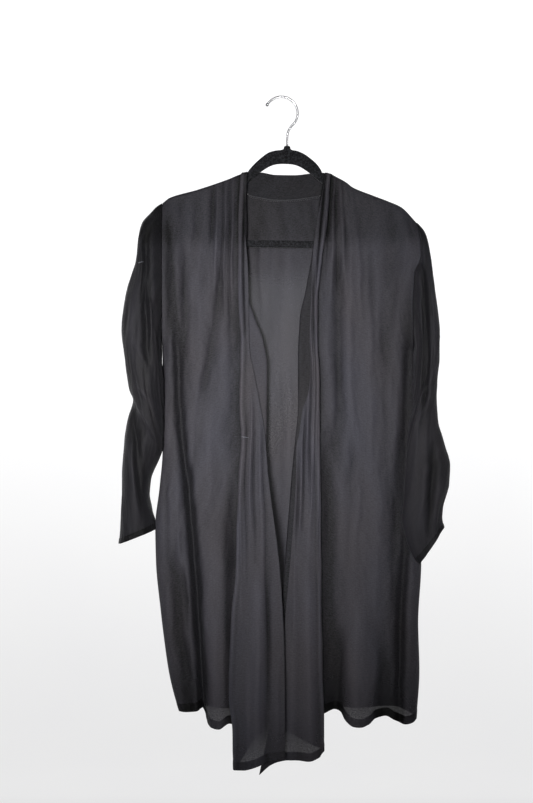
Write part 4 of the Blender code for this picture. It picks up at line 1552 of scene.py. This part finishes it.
RIGHT_SLEEVE = SleevePiece(
    name="sleeve_right_cloth",
    node="sleeve_right",
    way=-1,
    sleeve_shade=0.62,
    side=RIGHT_SIDE,
    rings=table(
        Ring, (-200.4, 174, -200.4, 408, -20, 20), (-209.5, 180, -201, 415, -29, 25),
        (-221, 192, -201, 425, -38, 29), (-233, 208, -201, 437, -44, 31),
        (-239, 232, -199.4, 452, -50, 27), (-243, 270, -198.0, 470, -51, 27),
        (-251, 297, -198.0, 488, -52, 27), (-260, 328, -198.0, 506, -52, 27),
        (-266, 382, -198.0, 535, -51, 27), (-261, 430, -198.0, 555, -50, 27),
        (-253, 480, -199.4, 576, -48, 27), (-248, 498, -203, 586, -42, 36),
        (-256, 525, -211, 604, -40, 42), (-262, 558, -220, 630, -41, 43),
        (-266, 606, -222, 655, -40, 42), (-268, 670, -218, 680, -38, 40),
        (-270.5, 721, -213, 697, -37, 38), (-272, 735, -212, 711, -37, 38),
    ),
    front_creases=(
        table(
            Crease, (205, -222, 5, 0), (270, -226, 6, -9), (340, -225, 6, -9), (420, -222, 6, -5),
            (460, -220, 6, 0),
        ),
        table(Crease, (490, -247, 6, 0), (540, -243, 6, -8), (610, -238, 6, -7), (690, -232, 6, 0)),
        table(Crease, (300, -246, 6, 0), (380, -248, 6, 4), (470, -240, 6, 0)),
    ),
    rear_creases=(
        table(Crease, (230, -224, 6, 0), (330, -230, 7, -9), (450, -232, 7, -6), (520, -230, 7, 0)),
        table(Crease, (540, -240, 7, 0), (620, -244, 7, -7), (700, -246, 7, 0)),
    ),
    front_folds=table(
        Fold,
        (-212, 240, -214, 400, 2, 4.0, 2.0),
        (-236, 250, -238, 420, -2, 5.0, 1.6),
        (-250, 400, -222, 450, 3, 4.0, 2.0, 0.3),
        (-246, 470, -208, 520, 4, 4.0, 2.6, 0.3),
        (-248, 500, -216, 560, 5, 4.0, 2.4),
        (-250, 520, -226, 640, 3, 4.0, -2.2),
        (-258, 560, -236, 690, 3, 5.0, 2.2, 0.2),
        (-246, 600, -240, 720, -2, 5.0, 1.8),
        (-228, 640, -222, 700, 2, 4.0, 1.6),
    ),
    rear_folds=table(
        Fold,
        (-214, 240, -222, 420, 2, 4.0, 2.0),
        (-250, 440, -214, 520, -4, 5.0, 2.4),
        (-246, 500, -216, 580, 4, 4.0, 2.4),
        (-256, 560, -238, 690, 3, 5.0, 2.0),
    ),
    seed=53,
    cut=Cut(0.40, 0.46, 0.105, ("front_right_cloth", "back_cloth")),
)

LEFT_SLEEVE = SleevePiece(
    name="sleeve_left_cloth",
    node="sleeve_left",
    way=1,
    sleeve_shade=0.15,
    side=LEFT_SIDE,
    rings=table(
        Ring, (218.4, 206, 213.4, 412, -20, 20), (223, 212, 213.6, 420, -30, 18),
        (229, 222, 213.4, 432, -37, 14), (234, 237, 213, 446, -43, 10), (240, 268, 212.6, 462, -49, 4),
        (243.5, 304, 212, 478, -54, -2), (247.5, 340, 211, 494, -58, -8),
        (252.5, 387, 210, 512, -61, -14), (251.5, 431, 204, 536, -64, -20),
        (247.5, 470, 200, 560, -65, -22), (246.5, 495, 198, 579, -65, -22),
        (249.5, 534, 197, 602, -66, -22), (259, 571, 196, 626, -67, -22),
        (268, 603, 195, 646, -68, -22), (267, 636, 193, 665, -67, -22),
        (257, 672, 191, 689, -65, -22), (255, 689, 198, 724, -64, -22),
        (256, 697, 209, 752, -62, -23), (258, 705, 219, 764, -61, -24),
    ),
    front_creases=(
        table(
            Crease, (240, 232, 5, 0), (300, 228, 6, -6), (380, 230, 7, -9), (480, 227, 7, -7),
            (560, 224, 7, 0),
        ),
        table(Crease, (555, 242, 7, 0), (620, 238, 8, -8), (690, 234, 7, -5), (740, 232, 6, 0)),
    ),
    rear_creases=(
        table(Crease, (280, 236, 6, 0), (380, 240, 7, -7), (500, 234, 7, -7), (570, 230, 7, 0)),
        table(Crease, (590, 244, 7, 0), (640, 240, 7, -6), (710, 234, 7, 0)),
    ),
    front_folds=table(
        Fold,
        (219, 246, 225, 280, 0, 1.8, 2.0),
        (224, 246, 229, 276, 0, 1.8, 1.8),
        (220, 300, 216, 430, 0, 4.0, 1.8),
        (240, 300, 243, 420, 2, 4.0, 1.8),
        (246, 440, 214, 500, 4, 4.0, 2.4),
        (244, 470, 208, 540, 4, 4.0, 2.4, 0.3),
        (212, 520, 204, 650, 2, 5.0, 2.0),
        (256, 560, 222, 620, 3, 5.0, 2.4),
        (226, 600, 214, 720, 2, 5.0, 2.0, 0.3),
        (250, 620, 240, 700, 2, 5.0, 1.8),
    ),
    rear_folds=table(
        Fold,
        (244, 420, 212, 500, -4, 5.0, 2.2),
        (246, 520, 206, 600, 4, 5.0, 2.2),
        (250, 620, 222, 700, 2, 5.0, 2.0),
    ),
    seed=67,
    cut=Cut(0.40, 0.46, 0.105, ("front_left_cloth", "back_cloth")),
)


def tube_object(name: str, path: Array, radius: Array, sides: int) -> bpy.types.Object:
    """A closed tube: a ring round each point of a path, square to it, with rounded ends.

    Args:
        name: Name of the object.
        path: Points of the path, in millimetres.
        radius: The radius at each point.
        sides: How many points a ring has.

    Returns:
        The object, at the origin.
    """
    ahead = np.gradient(path, axis=0)
    ahead /= np.linalg.norm(ahead, axis=1, keepdims=True)
    aside = np.cross(ahead, np.array([0.0, 1.0, 0.0]))
    aside /= np.linalg.norm(aside, axis=1, keepdims=True)
    other = np.cross(aside, ahead)
    turn = np.arange(sides) * 2 * math.pi / sides
    spread = (
        aside[:, None] * np.cos(turn)[None, :, None] + other[:, None] * np.sin(turn)[None, :, None]
    )
    points = path[:, None] + radius[:, None, None] * spread
    ring = np.arange(len(path) * sides).reshape(-1, sides)
    caps = [ring[0].tolist(), ring[-1][::-1].tolist()]
    piece = mesh_object(name, points, ring_quads(ring).tolist() + caps)
    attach(piece, "root")
    return piece


@dataclass(frozen=True)
class Hook:
    """The hook: a wire arc with a ball at its tip, and the stem that enters the frame."""

    wire: float = 3.8
    radius: float = 27.0
    centre_x: float = -4.5
    tip_angle: float = 149.0
    last_angle: float = -50.0
    ball: float = 6.0
    stem: tuple = ((10.5, 49.0), (7.0, 55.0), (5.6, 62.0), (5.1, 70.0), (5.0, 78.6))

    def path(self) -> Array:
        """Points down the wire: an arc of a circle, then a smooth curve through the stem.

        Returns:
            Rows of x, y and z in millimetres.
        """
        angle = np.radians(np.linspace(self.tip_angle, self.last_angle, 110))
        arc_x = self.centre_x + self.radius * np.cos(angle)
        arc_drop = self.radius - self.wire / 2 - self.radius * np.sin(angle)
        stem_drop = np.linspace(arc_drop[-1], self.stem[-1][1], 40)[1:]
        rows = [(arc_drop[-1], arc_x[-1])] + [(drop, x) for x, drop in self.stem]
        stem_x = smooth(rows, stem_drop)
        x, drop = np.concatenate([arc_x, stem_x]), np.concatenate([arc_drop, stem_drop])
        return np.column_stack([x, 0 * x, -drop])

    def build(self) -> None:
        """Makes the wire and its ball in one tube, whose radius swells into the ball."""
        path = self.path()
        run = lengths_along(path)
        lead = (path[0] - path[1]) / np.linalg.norm(path[0] - path[1])
        reach = self.ball / 2
        steps = np.cos(np.linspace(0.02, math.pi / 2, 12)) * reach
        tip = path[0] + steps[:, None] * lead
        round_tip = np.sqrt(reach**2 - steps**2)
        inside = np.sqrt(np.maximum(reach**2 - run**2, 0))
        wire = np.maximum(self.wire / 2, inside)
        points, sizes = np.vstack([tip[:-1], path]), np.concatenate([round_tip[:-1], wire])
        hook = tube_object("hook_wire", points, np.maximum(sizes, 0.05), 28)
        hook.data.materials.append(SteelFinish().material())
        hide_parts("hook")
        log.info("hook_wire: %d faces", len(hook.data.polygons))


@dataclass(frozen=True)
class Hanger:
    """The hanger's frame: a flat bar that runs round one opening, covered with velvet."""

    thickness: float = 5.0
    centre: tuple[float, float] = (0.0, 222.0)
    squareness: float = 0.42
    steps: int = 620
    sides: int = 22
    outer: tuple = (
        (1, 79.5), (9, 79.5), (12, 85.2), (22, 87.5), (35, 93.5), (52, 107), (61.5, 120), (64, 129.5),
        (71, 131.5), (94, 142), (107, 150.3), (142, 163.3), (170, 173.5), (193, 184),
        (204, 194), (210, 212), (209, 232), (200, 246), (184, 249), (0, 247), (-176, 245),
        (-193, 242), (-203, 230), (-207, 210), (-206, 190), (-200, 178.5), (-188, 168),
        (-143, 154.4), (-93, 137.4), (-71, 128.6), (-62, 126), (-57, 118), (-46, 106),
        (-28, 91.5), (-15, 87), (-2, 85),
    )
    inner: tuple = (
        (2, 109), (22, 112), (42, 124), (63, 141), (94, 158), (142, 182), (176, 199), (192, 214),
        (194, 228), (184, 237), (0, 235), (-176, 233), (-187, 226), (-188, 210), (-176, 192),
        (-143, 175), (-93, 157), (-62, 141), (-38, 122), (-18, 111),
    )

    def outline(self, corners: tuple) -> tuple[Array, Array]:
        """A closed Catmull-Rom curve through the corners, seen from the frame's centre.

        Args:
            corners: Corners as x and drop.

        Returns:
            The angle and the place of each point, in order of angle.
        """
        corners = np.array(corners, float)
        before, after, then = (np.roll(corners, k, axis=0) for k in (1, -1, -2))
        t = (np.arange(24) / 24)[None, :, None]
        here, before, after, then = (part[:, None] for part in (corners, before, after, then))
        curve = 0.5 * (
            2 * here
            + (after - before) * t
            + (2 * before - 5 * here + 4 * after - then) * t * t
            + (3 * here - before - 3 * after + then) * t**3
        )
        curve = curve.reshape(-1, 2)
        angle = np.arctan2(curve[:, 0] - self.centre[0], self.centre[1] - curve[:, 1])
        order = np.argsort(angle)
        return angle[order], curve[order]

    def build(self) -> None:
        """Carries a rounded square profile round the frame, between the two outlines."""
        outer_angle, outer = self.outline(self.outer)
        inner_angle, inner = self.outline(self.inner)
        step = np.linalg.norm(np.diff(outer, axis=0, append=outer[:1]), axis=1)
        run = np.concatenate([[0], np.cumsum(step)[:-1]])
        angle = np.interp(np.linspace(0, run[-1], self.steps, endpoint=False), run, outer_angle)
        far, near = (
            np.column_stack([np.interp(angle, at, line[:, k], period=2 * math.pi) for k in (0, 1)])
            for at, line in ((outer_angle, outer), (inner_angle, inner))
        )
        turn = np.arange(self.sides) * 2 * math.pi / self.sides
        square = np.sign(np.cos(turn)) * np.abs(np.cos(turn)) ** self.squareness
        high = np.sign(np.sin(turn)) * np.abs(np.sin(turn)) ** self.squareness
        middle, half = (far + near) / 2, (far - near) / 2
        place = middle[:, None] + square[None, :, None] * half[:, None]
        y = np.broadcast_to(high * self.thickness / 2, place.shape[:2])
        points = np.stack([place[..., 0], y, -place[..., 1]], axis=2)
        ring = np.arange(self.steps * self.sides).reshape(self.steps, self.sides)
        aside, ahead = np.roll(ring, -1, axis=1), np.roll(ring, -1, axis=0)
        quads = np.stack([ring, aside, np.roll(ahead, -1, axis=1), ahead], axis=2).reshape(-1, 4)
        hanger = mesh_object("hanger", points, quads.tolist())
        hanger.data.materials.append(VelvetFinish().material())
        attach(hanger, "root")
        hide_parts("hanger_frame")
        log.info("hanger: %d faces", len(hanger.data.polygons))


@dataclass(frozen=True)
class NeckSeam:
    """The joined edge of the neck band and the back: a thin roll with stitches below it."""

    roll: float = 0.65
    inwards: float = 0.7
    raised: float = 0.3
    below: float = 2.6

    def build(self, back: Surface) -> None:
        """Lays the roll and the stitches on the inside of the back, along the neckline.

        Args:
            back: The back's surface.
        """
        top = back.points[0]
        inside = (top[:, 0] > NECKLINE[2].at - 1) & (top[:, 0] < NECKLINE[-3].at + 1)
        path = top[inside] + np.array([0.0, -self.inwards, self.raised])
        roll = tube_object("neck_seam_roll", path, np.full(len(path), self.roll), 10)
        roll.data.materials.append(ThreadFinish("seam_edge", (0.026, 0.026, 0.031)).material())
        row = int(np.argmin(np.abs(np.array(SHOULDER_ROWS) - self.below)))
        out = -back.normals[row][inside]
        line = back.points[row][inside] + out * CLOTH_WALL / 2
        Stitches().build("neck_seam_stitches", line, out, BLACK_THREAD)


@dataclass(frozen=True)
class ThreadBar:
    """A short bar of pale thread, sewn through the cloth."""

    name: str
    start: tuple[float, float]
    end: tuple[float, float]
    radius: float = 0.6
    wraps: int = 16
    steps: int = 97
    search: tuple[float, float] = (12.0, 6.0)
    reach_squared: float = 6.5
    window: int = 25
    off: float = 0.35

    def build(self, surface: Surface) -> None:
        """Lays a wrapped bar on the foremost cloth between two points.

        Its radius is 1 + 0.16 x cos of its wraps, and it narrows at both ends. Its depth is the
        mean of the foremost cloth within reach, over a window of steps.

        Args:
            surface: The surface that it is sewn on.
        """
        share = np.linspace(0, 1, self.steps)
        x = self.start[0] + share * (self.end[0] - self.start[0])
        drop = self.start[1] + share * (self.end[1] - self.start[1])
        cloth = surface.points.reshape(-1, 3)
        aside, apart = np.abs(cloth[:, 0] - x.mean()), np.abs(cloth[:, 2] + drop.mean())
        cloth = cloth[(aside < self.search[0]) & (apart < self.search[1])]
        gap = (cloth[:, 0] - x[:, None]) ** 2 + (cloth[:, 2] + drop[:, None]) ** 2
        foremost = np.where(gap < self.reach_squared, cloth[:, 1], math.inf).min(axis=1)
        padded = np.pad(foremost, self.window // 2, mode="edge")
        level = np.convolve(padded, np.ones(self.window) / self.window, mode="valid")
        path = np.column_stack([x, level - CLOTH_WALL / 2 - self.off, -drop])
        size = self.radius * (1 + 0.16 * np.cos(2 * math.pi * self.wraps * share))
        size = size * np.maximum(np.sin(math.pi * np.clip(share, 0.02, 0.98)), 0.02) ** 0.35
        bar = tube_object(self.name, path, size, 14)
        bar.data.materials.append(PALE_THREAD.material())
        log.info("%s: %.1f mm long", self.name, abs(self.end[0] - self.start[0]))


@dataclass(frozen=True)
class Lamp:
    """A square soft light: its place, what it points at, its side, watts and beam in degrees."""

    name: str
    place: tuple[float, float, float]
    aim: tuple[float, float, float]
    size: float
    power: float
    spread: float

    def build(self) -> None:
        """Adds the light, turned from straight down to its aim."""
        light = bpy.data.lights.new(self.name, "AREA")
        light.spread = math.radians(self.spread)
        light.shape = "SQUARE"
        light.size = self.size
        light.energy = self.power
        lamp = bpy.data.objects.new(self.name, light)
        bpy.context.scene.collection.objects.link(lamp)
        lamp.location = self.place
        aim_x, aim_y, aim_z = (a - b for a, b in zip(self.aim, self.place))
        flat = math.hypot(aim_x, aim_y)
        lamp.rotation_euler = (math.pi / 2 + math.atan2(aim_z, flat), 0, math.atan2(-aim_x, aim_y))


# A narrow key light beside the camera, and a weak wide fill
LAMPS = (
    Lamp("key", (-0.50, -2.90, -0.42), (-0.10, 0.0, -0.46), 0.5, 3.3, 26.0),
    Lamp("fill", (0.3, -3.4, 0.1), (0.0, 0.0, -0.3), 1.0, 10.5, 180.0),
)


@dataclass(frozen=True)
class Studio:
    """The plain room, its soft lights and the camera."""

    floor: float = -1.9
    radius: float = 4.6
    bend: float = 1.2
    wall_top: float = 4.0
    room_sides: int = 96
    distance: float = 2.6
    pixel: float = 0.00165
    picture_height: int = 803
    view_centre: tuple[float, float] = (-0.0289, -0.5008)
    sensor: float = 24.0
    lamps: tuple[Lamp, ...] = LAMPS
    sky: tuple[float, float, float, float] = (0.93, 0.95, 1.0, 1.0)
    sky_strength: float = 0.04

    def build_room(self) -> None:
        """Turns one profile round the vertical: the floor, a quarter circle and the wall."""
        flat = np.linspace(0.02, self.radius - self.bend, 12)
        bend = np.linspace(0, math.pi / 2, 18)[1:]
        rise = np.linspace(self.floor + self.bend, self.wall_top, 8)[1:]
        reach = np.concatenate(
            [flat, self.radius - self.bend + self.bend * np.sin(bend), 0 * rise + self.radius]
        )
        height = np.concatenate(
            [0 * flat + self.floor, self.floor + self.bend * (1 - np.cos(bend)), rise]
        )
        turn = np.arange(self.room_sides) * 2 * math.pi / self.room_sides
        east, north = reach[:, None] * np.cos(turn), reach[:, None] * np.sin(turn)
        points = np.stack([east, north, height[:, None] + 0 * turn], axis=2)
        ring = np.arange(len(reach) * self.room_sides).reshape(-1, self.room_sides)
        faces = ring_quads(ring)[:, ::-1].tolist() + [ring[0].tolist()]
        room = mesh_object("room", points, faces, 1.0)
        room.data.materials.append(PaperFinish().material())

    def build_lights(self) -> None:
        """The lamps, a dim even sky and plain colours in the picture."""
        for lamp in self.lamps:
            lamp.build()
        world = bpy.data.worlds.new("sky")
        bpy.context.scene.world = world
        world.use_nodes = True
        background = world.node_tree.nodes["Background"]
        background.inputs["Color"].default_value = self.sky
        background.inputs["Strength"].default_value = self.sky_strength
        bpy.context.scene.view_settings.view_transform = "Standard"

    def build_camera(self) -> None:
        """A level camera straight before the coat, at the photograph's scale."""
        camera = bpy.data.cameras.new("camera")
        camera.sensor_fit = "VERTICAL"
        camera.sensor_height = self.sensor
        camera.lens = self.sensor * self.distance / (self.picture_height * self.pixel)
        eye = bpy.data.objects.new("camera", camera)
        bpy.context.scene.collection.objects.link(eye)
        eye.location = (self.view_centre[0], -self.distance, self.view_centre[1])
        eye.rotation_euler = (math.pi / 2, 0, 0)
        bpy.context.scene.camera = eye


def write_sizes() -> None:
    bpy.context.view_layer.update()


def main() -> None:
    """Builds the coat, its hanger and the studio, in order."""
    logging.basicConfig(level=logging.INFO, format="%(name)s: %(message)s")
    Hanger().build()
    Hook().build()
    back = BackPanel().build()
    NeckBand().build()
    NeckSeam().build(back)
    right_front = RIGHT_FRONT.build()
    LEFT_FRONT.build()
    right_sleeve = RIGHT_SLEEVE.build()
    LEFT_SLEEVE.build()
    ThreadBar("sleeve_thread_bar", (-238.0, 275.5), (-229.0, 273.5)).build(right_sleeve)
    ThreadBar("drape_thread_bar", (-70.5, 558.0), (-58.0, 560.0)).build(right_front)
    studio = Studio()
    studio.build_room()
    studio.build_lights()
    studio.build_camera()
    write_sizes()


if __name__ == "__main__":
    main()
